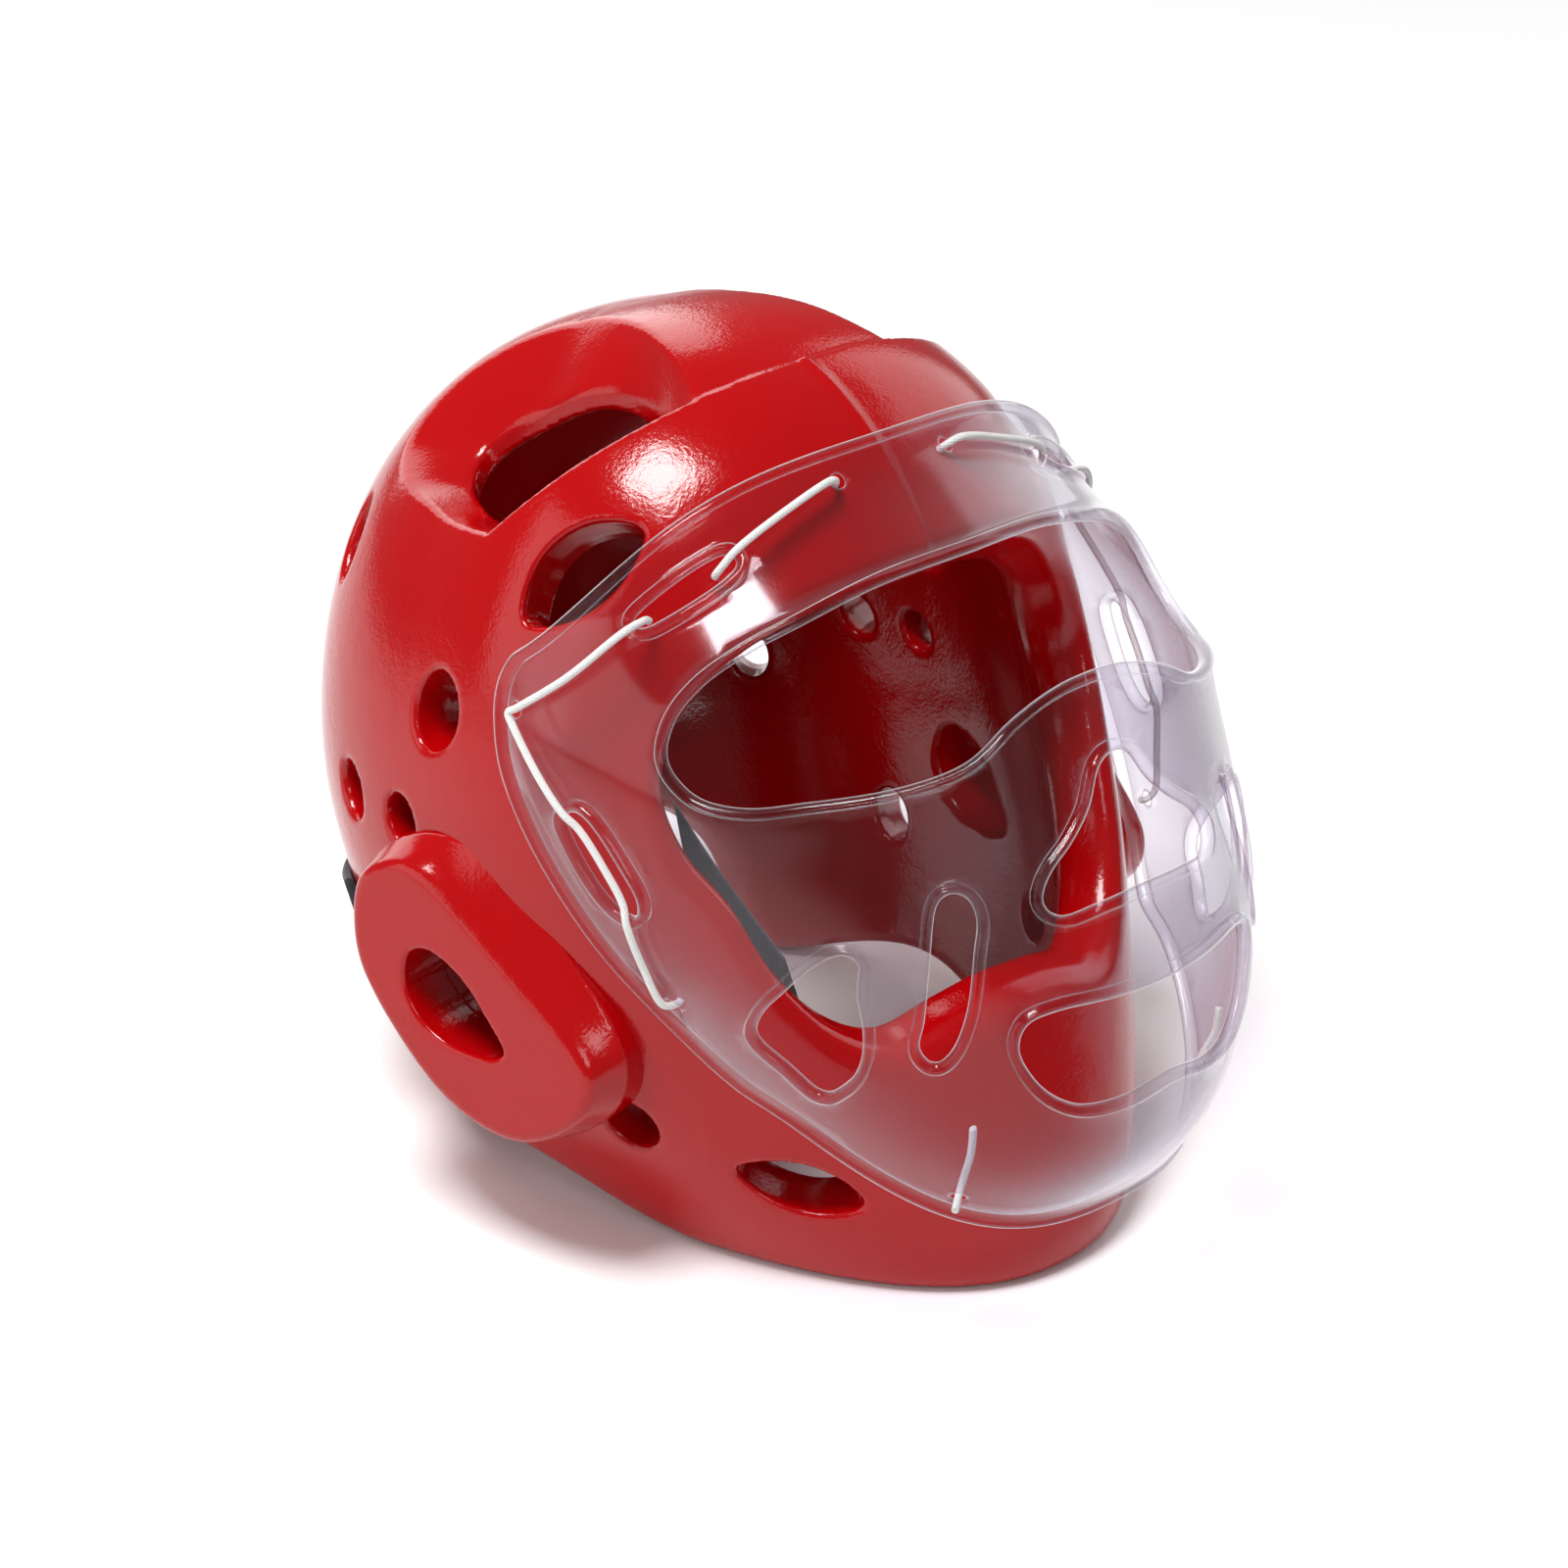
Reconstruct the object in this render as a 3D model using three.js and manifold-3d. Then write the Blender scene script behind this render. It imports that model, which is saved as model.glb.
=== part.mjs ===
// Full-face sparring headgear with a clear face shield, standing on its lower rim.
// Units are millimetres. The pieces are drawn upright, with the wearer facing -Y and the right side
// at -X, and the whole headgear is then tipped back onto the rim that it rests on.
import * as THREE from 'three';
import { mergeVertices } from 'three/addons/utils/BufferGeometryUtils.js';
import ManifoldModule from 'manifold-3d';

const wasm = await ManifoldModule();
wasm.setup();

// Foam shell
const SHELL_HALF_WIDTH = 107;
const SHELL_FRONT_DEPTH = 109;
const SHELL_REAR_DEPTH = 110;
const CROWN_HEIGHT = 141.5;
const CHIN_DROP = 132;
const FOAM_WALL = 19;
const SHELL_SQUARENESS = 2.25;
const DOME_SQUARENESS = 2.17;
const FOREHEAD_SQUARENESS = 2.75;
const NAPE_TUCK = 0.085;
const NAPE_TUCK_LEVEL = 0.3;
const FOREHEAD_BAND_RISE = 7;
const FOREHEAD_BAND_RIM_LEVEL = 0.827;
const FOREHEAD_BAND_RIM_FRONT = 76;
const FOREHEAD_BAND_SLOPE = 26.6;
const FOREHEAD_BAND_FOOT = 38;

// How the headgear stands
const REST_PITCH = 17;
const REST_DROP = 92;
const RIM_ARCH_RISE = 13;
const RIM_ARCH_FRONT = -70;
const RIM_ARCH_REAR = 44;

// Openings in the shell
const FACE_HALF_WIDTH = 78;
const FACE_TOP = 67;
const FACE_BOTTOM = 55;
const FACE_FOCUS_DEPTH = 74;
const CROWN_VENT_LENGTH = 76;
const CROWN_VENT_WIDTH = 65;
const CROWN_VENT_BEVEL = 14;
const NAPE_ARCH_HALF_WIDTH = 52;
const NAPE_ARCH_TOP = 20;
const SIDE_VENT_LENGTH = 24;
const SIDE_VENT_BEVEL = 5;

// Ear pads
const EAR_PAD_LENGTH = 80;
const EAR_PAD_PROUD = 16;
const EAR_PAD_YAW = 13;
const EAR_PAD_START = 12;
const EAR_PAD_EDGE = 2.5;
const EAR_PAD_FLARE = 12;
const EAR_PAD_FLARE_DEPTH = 10;

// Face shield
const SHIELD_TUCK = 4;
const SHIELD_STANDOFF = 59.6;
const SHIELD_TOP_LEVEL = 0.735;
const SHIELD_FOOT_LEVEL = 0.803;
const SHIELD_THICKNESS = 2.5;
const LACE_HOLE_RADIUS = 2.4;

// Laces and straps
const LACE_DIAMETER = 2.2;
const LACE_TUNNEL_DIAMETER = 3.8;
const STRAP_WIDTH = 25;
const STRAP_THICKNESS = 2.6;
const STRAP_TOP = 1;
const TAIL_WIDTH = 22;
const TAIL_THICKNESS = 2;

// Gap kept between pieces that touch, and what the flat facets of the hollow stand in from its curve
const CLEARANCE = 0.3;
const FACET_ALLOWANCE = 0.7;

// Mesh steps
const RING_STEPS = 38;
const CAVITY_STEPS = 28;
const SHIELD_STEPS_ACROSS = 22;
const SHIELD_STEPS_DOWN = 12;
const LACE_SIDES = 6;

// Lower part of the shell, from its widest level down to the chin.
const JAW_ROWS = [
  { level: 0, width: 1, front: 1, rear: 0.915 },
  { level: 0.24, width: 0.97, front: 1.02, rear: 0.875 },
  { level: 0.48, width: 0.885, front: 1.045, rear: 0.84 },
  { level: 0.73, width: 0.75, front: 1.075, rear: 0.77 },
  { level: 0.9, width: 0.63, front: 1.07, rear: 0.71 },
  { level: 1, width: 0.55, front: 1.02, rear: 0.67 },
];

// Half of the face opening, from the brow round to the chin, as shares of its half width and of its
// height above or below the widest level.
const FACE_ROWS = [
  { across: 0, up: 1 },
  { across: 0.4, up: 0.98 },
  { across: 0.72, up: 0.87 },
  { across: 0.93, up: 0.66 },
  { across: 1, up: 0.42 },
  { across: 0.98, up: 0.16 },
  { across: 0.89, up: -0.12 },
  { across: 0.81, up: -0.5 },
  { across: 0.67, up: -0.84 },
  { across: 0.5, up: -1 },
  { across: 0.25, up: -0.95 },
  { across: 0, up: -0.92 },
];

// Crown vent in plan: its rim on the outer surface and the smaller hole below the bevel, as shares of
// the vent's width (across) and length (back), measured from the middle of the head.
const CROWN_VENT_ROWS = [
  { rimAcross: 1.35, rimBack: -0.43, holeAcross: 1.13, holeBack: -0.36 },
  { rimAcross: 1.32, rimBack: -0.16, holeAcross: 1.12, holeBack: -0.2 },
  { rimAcross: 1.24, rimBack: 0.07, holeAcross: 1.06, holeBack: -0.08 },
  { rimAcross: 1.02, rimBack: 0.2, holeAcross: 0.94, holeBack: -0.03 },
  { rimAcross: 0.76, rimBack: 0.17, holeAcross: 0.82, holeBack: -0.08 },
  { rimAcross: 0.53, rimBack: 0.01, holeAcross: 0.72, holeBack: -0.2 },
  { rimAcross: 0.4, rimBack: -0.22, holeAcross: 0.62, holeBack: -0.38 },
  { rimAcross: 0.37, rimBack: -0.43, holeAcross: 0.55, holeBack: -0.56 },
  { rimAcross: 0.42, rimBack: -0.68, holeAcross: 0.54, holeBack: -0.7 },
  { rimAcross: 0.55, rimBack: -0.83, holeAcross: 0.62, holeBack: -0.76 },
  { rimAcross: 0.82, rimBack: -0.76, holeAcross: 0.8, holeBack: -0.68 },
  { rimAcross: 1.1, rimBack: -0.62, holeAcross: 0.98, holeBack: -0.54 },
];

// Vents on each side: the direction they face (turn round the head from the side towards the front),
// height as a share of the crown or chin height, size as shares of the side vent's length, and how far
// the long axis leans up from straight ahead.
const SIDE_VENTS = [
  { name: 'temple', turn: 37.5, up: 0.6, length: 1.66, width: 0.92, lean: 28, slant: 21 },
  { name: 'side', turn: 6, up: 0.38, length: 0.98, width: 0.78, lean: 65, slant: 10 },
  { name: 'upper_rear', turn: -28, up: 0.66, length: 1.15, width: 0.6, lean: 96, slant: 32 },
  { name: 'lower_rear', turn: -14.6, up: 0.2, length: 0.78, width: 0.6, lean: 111, slant: 6 },
  { name: 'above_ear', turn: -1.5, up: 0.157, length: 0.7, width: 0.58, lean: 101, slant: 4 },
  { name: 'rear', turn: -42, up: 0.13, length: 0.82, width: 0.62, lean: 100, slant: 4 },
  { name: 'behind_ear', turn: -16, up: -0.3, length: 0.95, width: 0.6, lean: 105, slant: -8 },
  { name: 'jaw', turn: 20.4, up: -0.51, length: 0.72, width: 0.66, lean: -46, slant: -18 },
  { name: 'chin', turn: 43, up: -0.668, length: 1.55, width: 0.64, lean: -23, slant: -14 },
];

// Face of the right ear pad: place forwards and up as shares of the pad's length, and how far its
// base stands out past the face there as a share of the flare.
const EAR_PAD_ROWS = [
  { along: -0.02, up: -0.18, flare: 0.2 },
  { along: -0.008, up: -0.02, flare: 0.2 },
  { along: 0.054, up: 0.122, flare: 0.25 },
  { along: 0.14, up: 0.178, flare: 0.3 },
  { along: 0.249, up: 0.194, flare: 0.4 },
  { along: 0.331, up: 0.168, flare: 0.65 },
  { along: 0.405, up: 0.105, flare: 1 },
  { along: 0.666, up: -0.2, flare: 1 },
  { along: 0.88, up: -0.46, flare: 0.6 },
  { along: 0.916, up: -0.56, flare: 0.4 },
  { along: 0.871, up: -0.668, flare: 0.3 },
  { along: 0.742, up: -0.752, flare: 0.25 },
  { along: 0.567, up: -0.8, flare: 0.2 },
  { along: 0.42, up: -0.775, flare: 0.2 },
  { along: 0.23, up: -0.65, flare: 0.2 },
  { along: 0.07, up: -0.415, flare: 0.2 },
];
const EAR_HOLE_ROWS = [
  { along: 0.219, up: -0.138 },
  { along: 0.27, up: -0.117 },
  { along: 0.334, up: -0.13 },
  { along: 0.441, up: -0.225 },
  { along: 0.513, up: -0.361 },
  { along: 0.555, up: -0.478 },
  { along: 0.496, up: -0.503 },
  { along: 0.39, up: -0.483 },
  { along: 0.29, up: -0.441 },
  { along: 0.211, up: -0.366 },
  { along: 0.175, up: -0.244 },
];

// The shield as bowed rows from its top edge to its bottom edge. Places are shares of the half width,
// the reach in front of the head and the height; drape bends a row up or down and bow fills it out.
const SHIELD_ROWS = [
  { down: 0, sideAcross: 0.927, sideReach: 0.298, sideDrop: 0.162, midReach: 0.583, midDrop: 0, drape: 3.3, bow: 1.1 },
  { down: 0.1, sideAcross: 0.959, sideReach: 0.28, sideDrop: 0.2, midReach: 0.613, midDrop: 0.052, drape: 3, bow: 1.05 },
  { down: 0.2, sideAcross: 0.984, sideReach: 0.271, sideDrop: 0.243, midReach: 0.702, midDrop: 0.124, drape: 2.6, bow: 1 },
  { down: 0.3, sideAcross: 1, sideReach: 0.271, sideDrop: 0.3, midReach: 0.845, midDrop: 0.219, drape: 2.3, bow: 1 },
  { down: 0.4, sideAcross: 0.993, sideReach: 0.283, sideDrop: 0.367, midReach: 0.958, midDrop: 0.324, drape: 2, bow: 1 },
  { down: 0.52, sideAcross: 0.975, sideReach: 0.3125, sideDrop: 0.443, midReach: 0.976, midDrop: 0.438, drape: 2, bow: 1 },
  { down: 0.64, sideAcross: 0.942, sideReach: 0.354, sideDrop: 0.524, midReach: 0.991, midDrop: 0.562, drape: 2, bow: 1 },
  { down: 0.75, sideAcross: 0.898, sideReach: 0.393, sideDrop: 0.59, midReach: 1, midDrop: 0.686, drape: 2.1, bow: 1 },
  { down: 0.86, sideAcross: 0.821, sideReach: 0.449, sideDrop: 0.676, midReach: 0.982, midDrop: 0.81, drape: 2.5, bow: 1.05 },
  { down: 0.94, sideAcross: 0.767, sideReach: 0.479, sideDrop: 0.729, midReach: 0.911, midDrop: 0.924, drape: 2.9, bow: 1.15 },
  { down: 1, sideAcross: 0.728, sideReach: 0.497, sideDrop: 0.762, midReach: 0.798, midDrop: 1, drape: 3.2, bow: 1.25 },
];

// Openings in the shield, drawn on the flat sheet before it is bent: across is the share of the way
// from the middle to a side edge and down the share from the top edge to the bottom edge.
const EYE_OPENING = [
  { across: 0, down: 0.231 },
  { across: 0.18, down: 0.231 },
  { across: 0.34, down: 0.238 },
  { across: 0.45, down: 0.243 },
  { across: 0.55, down: 0.258 },
  { across: 0.62, down: 0.287 },
  { across: 0.665, down: 0.335 },
  { across: 0.655, down: 0.385 },
  { across: 0.6, down: 0.415 },
  { across: 0.5, down: 0.427 },
  { across: 0.37, down: 0.437 },
  { across: 0.26, down: 0.43 },
  { across: 0.17, down: 0.4 },
  { across: 0.08, down: 0.383 },
  { across: 0, down: 0.379 },
];
const NOSE_OPENING = [
  { across: 0, down: 0.478 },
  { across: 0.035, down: 0.488 },
  { across: 0.07, down: 0.532 },
  { across: 0.12, down: 0.568 },
  { across: 0.175, down: 0.598 },
  { across: 0.2, down: 0.628 },
  { across: 0.18, down: 0.646 },
  { across: 0.1, down: 0.645 },
  { across: 0, down: 0.642 },
];
const MOUTH_OPENING = [
  { across: 0, down: 0.752 },
  { across: 0.12, down: 0.752 },
  { across: 0.23, down: 0.754 },
  { across: 0.29, down: 0.768 },
  { across: 0.312, down: 0.8 },
  { across: 0.29, down: 0.838 },
  { across: 0.23, down: 0.863 },
  { across: 0.12, down: 0.867 },
  { across: 0, down: 0.858 },
];
const CHEEK_FIN = [
  { across: 0.785, down: 0.828 },
  { across: 0.74, down: 0.78 },
  { across: 0.675, down: 0.735 },
  { across: 0.6, down: 0.684 },
  { across: 0.54, down: 0.661 },
  { across: 0.52, down: 0.672 },
  { across: 0.545, down: 0.72 },
  { across: 0.565, down: 0.78 },
  { across: 0.605, down: 0.838 },
  { across: 0.65, down: 0.874 },
  { across: 0.705, down: 0.9 },
  { across: 0.75, down: 0.868 },
];
const CHEEK_SLOT = [
  { across: 0.362, down: 0.6 },
  { across: 0.34, down: 0.592 },
  { across: 0.316, down: 0.602 },
  { across: 0.312, down: 0.63 },
  { across: 0.335, down: 0.672 },
  { across: 0.38, down: 0.748 },
  { across: 0.43, down: 0.8 },
  { across: 0.47, down: 0.818 },
  { across: 0.482, down: 0.8 },
  { across: 0.455, down: 0.762 },
  { across: 0.405, down: 0.672 },
];
const UPPER_LACE_SLOT = [
  { across: 0.59, down: 0.128 },
  { across: 0.56, down: 0.12 },
  { across: 0.4, down: 0.112 },
  { across: 0.37, down: 0.118 },
  { across: 0.365, down: 0.136 },
  { across: 0.4, down: 0.148 },
  { across: 0.53, down: 0.153 },
  { across: 0.58, down: 0.146 },
];
const SIDE_LACE_SLOT = [
  { across: 0.9, down: 0.4 },
  { across: 0.862, down: 0.39 },
  { across: 0.832, down: 0.53 },
  { across: 0.836, down: 0.57 },
  { across: 0.862, down: 0.598 },
  { across: 0.892, down: 0.575 },
  { across: 0.905, down: 0.42 },
];
const LACE_HOLES = [
  { across: 0.126, down: 0.078 },
  { across: 0.93, down: 0.18 },
  { across: 0.93, down: 0.79 },
  { across: 0.42, down: 0.975 },
];

// Lace routes over the shield: lift is measured outwards from the middle of the sheet.
const BROW_LACE_ROUTE = [
  { across: 0.128, down: 0.079, lift: -5 },
  { across: 0.13, down: 0.079, lift: 0 },
  { across: 0.15, down: 0.08, lift: 2.9 },
  { across: 0.25, down: 0.102, lift: 2.8 },
  { across: 0.36, down: 0.124, lift: 2.8 },
  { across: 0.392, down: 0.13, lift: 0.4 },
  { across: 0.41, down: 0.131, lift: -3 },
];
const SIDE_LACE_ROUTE = [
  { across: 0.56, down: 0.136, lift: -3.2 },
  { across: 0.575, down: 0.137, lift: 0.2 },
  { across: 0.61, down: 0.143, lift: 2.8 },
  { across: 0.75, down: 0.16, lift: 2.8 },
  { across: 0.9, down: 0.18, lift: 3 },
  { across: 0.926, down: 0.187, lift: 3.2 },
  { across: 0.92, down: 0.22, lift: 2.9 },
  { across: 0.895, down: 0.32, lift: 2.8 },
  { across: 0.88, down: 0.385, lift: 2.8 },
  { across: 0.872, down: 0.42, lift: 1.4 },
  { across: 0.862, down: 0.5, lift: 1 },
  { across: 0.862, down: 0.57, lift: 1.4 },
  { across: 0.87, down: 0.605, lift: 2.8 },
  { across: 0.9, down: 0.7, lift: 2.8 },
  { across: 0.925, down: 0.775, lift: 2.9 },
  { across: 0.93, down: 0.79, lift: 0 },
  { across: 0.93, down: 0.792, lift: -2.6 },
];
const CHIN_LACE_ROUTE = [
  { across: 0.42, down: 0.905, lift: -4.5 },
  { across: 0.42, down: 0.93, lift: -3.4 },
  { across: 0.42, down: 0.965, lift: -3 },
  { across: 0.42, down: 0.975, lift: 0 },
  { across: 0.42, down: 0.981, lift: 2.9 },
];

const LACE_ROUTES = { brow_lace: BROW_LACE_ROUTE, side_lace: SIDE_LACE_ROUTE, chin_lace: CHIN_LACE_ROUTE };

const RED = { color: 0xd4000a, roughness: 0.32, metalness: 0 };
const CLEAR = { color: 0xe9e4f4, roughness: 0.05, metalness: 0, transparent: true, opacity: 0.35 };
const WHITE = { color: 0xf4f2f0, roughness: 0.75, metalness: 0 };
const BLACK = { color: 0x14161c, roughness: 0.85, metalness: 0 };

const toRadians = THREE.MathUtils.degToRad;

// Smooth curve through one named column of a table, at the place where another column equals t.
function column(rows, key, name, t) {
  const last = rows.length - 1;
  let i = 0;
  while (i < last - 1 && t > rows[i + 1][key]) i += 1;
  const slope = (k) => {
    const low = rows[Math.max(k - 1, 0)];
    const high = rows[Math.min(k + 1, last)];
    return (high[name] - low[name]) / (high[key] - low[key]);
  };
  const span = rows[i + 1][key] - rows[i][key];
  const s = THREE.MathUtils.clamp((t - rows[i][key]) / span, 0, 1);
  const start = rows[i][name];
  const end = rows[i + 1][name];
  const blend = s * s * (3 - 2 * s);
  const tangents = s * (1 - s) * (slope(i) * (1 - s) - slope(i + 1) * s);
  return start + (end - start) * blend + tangents * span;
}

// Squareness of the dome in a direction, fuller at the forehead than at the sides and the back.
function domeSquareness(forward) {
  const share = THREE.MathUtils.smoothstep(forward, 0, 0.7);
  return DOME_SQUARENESS + (FOREHEAD_SQUARENESS - DOME_SQUARENESS) * share;
}

// Half width, front depth and rear depth of the shell at a height in one direction, drawn in by inset.
function shellSection(z, forward, inset) {
  const height = z > 0 ? CROWN_HEIGHT - inset : CHIN_DROP;
  const level = Math.min(Math.abs(z) / height, 1);
  const squareness = domeSquareness(forward);
  const dome = (1 - level ** squareness) ** (1 / squareness);
  const share = (name) => (z > 0 ? dome : column(JAW_ROWS, 'level', name, level));
  const tuck = z > 0 ? napeTuck(z, inset) : 1;
  return {
    width: (SHELL_HALF_WIDTH - inset) * share('width'),
    front: (SHELL_FRONT_DEPTH - inset) * share('front'),
    rear: (SHELL_REAR_DEPTH - inset) * share('rear') * tuck,
  };
}

// Share of the rear depth left where the back of the shell draws in towards the nape.
function napeTuck(z, inset) {
  const above = Math.min(z / (NAPE_TUCK_LEVEL * (CROWN_HEIGHT - inset)), 1);
  return 1 - NAPE_TUCK * (1 - above) ** 2;
}

// Point of the shell at a height and a direction round the head, from the right ear (0) to the face.
function shellPoint(z, angle, inset, frontRise = 0) {
  const forward = Math.sin(angle);
  const { width, front, rear } = shellSection(z, forward, inset);
  const round = (value) => Math.sign(value) * Math.abs(value) ** (2 / SHELL_SQUARENESS);
  const depth = forward > 0 ? front + frontRise : rear;
  return new THREE.Vector3(-width * round(Math.cos(angle)), -depth * round(forward), z);
}

// How far forward a place in plan points, as the sine of its direction round the head.
function forwardness(x, y, width, depth) {
  const across = Math.abs(x / width) ** (SHELL_SQUARENESS / 2);
  const ahead = Math.abs(y / depth) ** (SHELL_SQUARENESS / 2);
  return (-Math.sign(y) * ahead) / Math.max(Math.hypot(across, ahead), 1e-9);
}

// Front of the shell at a place given by its distance from the middle and its height.
function shellFront(x, z) {
  let y = -SHELL_FRONT_DEPTH;
  for (let pass = 0; pass < 6; pass += 1) {
    const forward = forwardness(x, y, SHELL_HALF_WIDTH, SHELL_FRONT_DEPTH);
    const { width, front } = shellSection(z, forward, 0);
    const share = Math.max(1 - Math.abs(x / width) ** SHELL_SQUARENESS, 0);
    y = -front * share ** (1 / SHELL_SQUARENESS);
  }
  return y;
}

// Top of the shell above a place in plan.
function shellTop(x, y, inset) {
  const width = SHELL_HALF_WIDTH - inset;
  const depth = (y < 0 ? SHELL_FRONT_DEPTH : SHELL_REAR_DEPTH) - inset;
  const squareness = domeSquareness(forwardness(x, y, width, depth));
  const out = Math.abs(x / width) ** SHELL_SQUARENESS + Math.abs(y / depth) ** SHELL_SQUARENESS;
  const share = Math.max(1 - out ** (squareness / SHELL_SQUARENESS), 0);
  return (CROWN_HEIGHT - inset) * share ** (1 / squareness);
}

// Closed skin over rings with equal numbers of points, each end closed on its own middle.
function loft(rings) {
  const steps = rings[0].length;
  const positions = [];
  const faces = [];
  rings.flat().forEach((point) => positions.push(point.x, point.y, point.z));
  for (let i = 0; i < rings.length - 1; i += 1) {
    for (let j = 0; j < steps; j += 1) {
      const a = i * steps + j;
      const b = i * steps + ((j + 1) % steps);
      faces.push(a, b, b + steps, a, b + steps, a + steps);
    }
  }
  [0, rings.length - 1].forEach((end) => {
    const middle = new THREE.Vector3();
    rings[end].forEach((point) => middle.addScaledVector(point, 1 / steps));
    positions.push(middle.x, middle.y, middle.z);
    for (let j = 0; j < steps; j += 1) {
      const pair = [end * steps + ((j + 1) % steps), end * steps + j];
      if (end > 0) pair.reverse();
      faces.push(...pair, positions.length / 3 - 1);
    }
  });
  const geometry = new THREE.BufferGeometry();
  geometry.setAttribute('position', new THREE.Float32BufferAttribute(positions, 3));
  geometry.setIndex(faces);
  return geometry;
}

// Solid of a closed geometry, whichever way its faces were wound.
function solid(geometry) {
  const bare = geometry.clone();
  bare.deleteAttribute('normal');
  bare.deleteAttribute('uv');
  const merged = mergeVertices(bare, 1e-4);
  const vertProperties = Float32Array.from(merged.attributes.position.array);
  const triVerts = Uint32Array.from(merged.index.array);
  if (signedVolume(vertProperties, triVerts) < 0) triVerts.reverse();
  return new wasm.Manifold(new wasm.Mesh({ numProp: 3, vertProperties, triVerts }));
}

function signedVolume(points, triangles) {
  const corner = (k) => new THREE.Vector3().fromArray(points, 3 * triangles[k]);
  let volume = 0;
  for (let k = 0; k < triangles.length; k += 3) {
    volume += corner(k).dot(corner(k + 1).cross(corner(k + 2))) / 6;
  }
  return volume;
}

function geometryOf(body) {
  const { vertProperties, triVerts, numProp } = body.getMesh();
  const positions = [];
  for (let i = 0; i < vertProperties.length; i += numProp) {
    positions.push(...vertProperties.subarray(i, i + 3));
  }
  const geometry = new THREE.BufferGeometry();
  geometry.setAttribute('position', new THREE.Float32BufferAttribute(positions, 3));
  geometry.setIndex(Array.from(triVerts));
  return geometry;
}

// The largest body of a solid, without the slivers that two nearly equal surfaces leave.
function largestBody(body) {
  return body.decompose().reduce((most, part) => (part.volume() > most.volume() ? part : most));
}

function mirrored(geometry) {
  const copy = geometry.clone();
  copy.scale(-1, 1, 1);
  const order = copy.index.array;
  for (let k = 0; k < order.length; k += 3) [order[k], order[k + 1]] = [order[k + 1], order[k]];
  return copy;
}

// Shell skin from the lowest level to the crown.
function shellSkin(inset, steps, lowest, frontRise = 0) {
  const rings = [];
  const angles = Array.from({ length: steps }, (unused, j) => (2 * Math.PI * j) / steps);
  const ring = (z) => rings.push(angles.map((angle) => shellPoint(z, angle, inset, frontRise)));
  const lowerRings = 7;
  const domeRings = 9;
  for (let i = 0; i < lowerRings; i += 1) ring(lowest * (1 - i / lowerRings));
  for (let i = 0; i < domeRings; i += 1) {
    ring((CROWN_HEIGHT - inset) * Math.sin(((i / domeRings) * 0.985 * Math.PI) / 2));
  }
  ring((CROWN_HEIGHT - inset) * 0.9998);
  return loft(rings);
}

// Big block on one side of a plane that contains the X direction.
function halfSpace(y, z, slope, size = 400) {
  const block = new THREE.BoxGeometry(size, size, size);
  block.translate(0, 0, size / 2);
  block.rotateX(toRadians(slope));
  block.translate(0, y, z);
  return solid(block);
}

function foreheadBand() {
  const tuck = 0.08 * FOAM_WALL;
  const band = solid(shellSkin(tuck, RING_STEPS, FOREHEAD_BAND_FOOT, FOREHEAD_BAND_RISE + tuck));
  const rimHeight = FOREHEAD_BAND_RIM_LEVEL * CROWN_HEIGHT;
  const above = halfSpace(-FOREHEAD_BAND_RIM_FRONT, rimHeight, -FOREHEAD_BAND_SLOPE);
  return band.subtract(above);
}

// What lies under the rim: flat where the headgear stands, arched at each side.
function underRim() {
  const profile = new THREE.Shape();
  const reach = 300;
  profile.moveTo(-reach, -reach);
  profile.lineTo(reach, -reach);
  profile.lineTo(reach, -REST_DROP);
  profile.lineTo(RIM_ARCH_REAR, -REST_DROP);
  const quarter = (RIM_ARCH_REAR - RIM_ARCH_FRONT) / 4;
  profile.bezierCurveTo(
    RIM_ARCH_REAR - quarter, RIM_ARCH_RISE * 1.3 - REST_DROP,
    RIM_ARCH_FRONT + quarter, RIM_ARCH_RISE * 1.3 - REST_DROP,
    RIM_ARCH_FRONT, -REST_DROP,
  );
  profile.lineTo(-reach, -REST_DROP);
  const block = new THREE.ExtrudeGeometry(profile, { depth: 2 * reach, bevelEnabled: false, curveSegments: 10 });
  block.translate(0, 0, -reach);
  block.applyMatrix4(new THREE.Matrix4().set(0, 0, 1, 0, 1, 0, 0, 0, 0, 1, 0, 0, 0, 0, 0, 1));
  block.rotateX(toRadians(REST_PITCH));
  return solid(block);
}

// Cutter for the face opening: its sides run towards a focus at the back of the head.
function faceCutter() {
  const half = FACE_ROWS.map(({ across, up }) => {
    const z = up * (up > 0 ? FACE_TOP : FACE_BOTTOM);
    return new THREE.Vector2(across * FACE_HALF_WIDTH, z);
  });
  const other = half.slice(1, -1).reverse().map((point) => new THREE.Vector2(-point.x, point.y));
  const outline = [...half, ...other].map(({ x, y: z }) => new THREE.Vector3(x, shellFront(x, z), z));
  const curve = new THREE.CatmullRomCurve3(outline, true, 'centripetal');
  const rim = curve.getPoints(40).slice(0, -1);
  const focus = new THREE.Vector3(0, FACE_FOCUS_DEPTH, 0);
  const ring = (scale) => rim.map((point) => focus.clone().lerp(point, scale));
  return solid(loft([ring(0.45), ring(1), ring(1.35)]));
}

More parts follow.
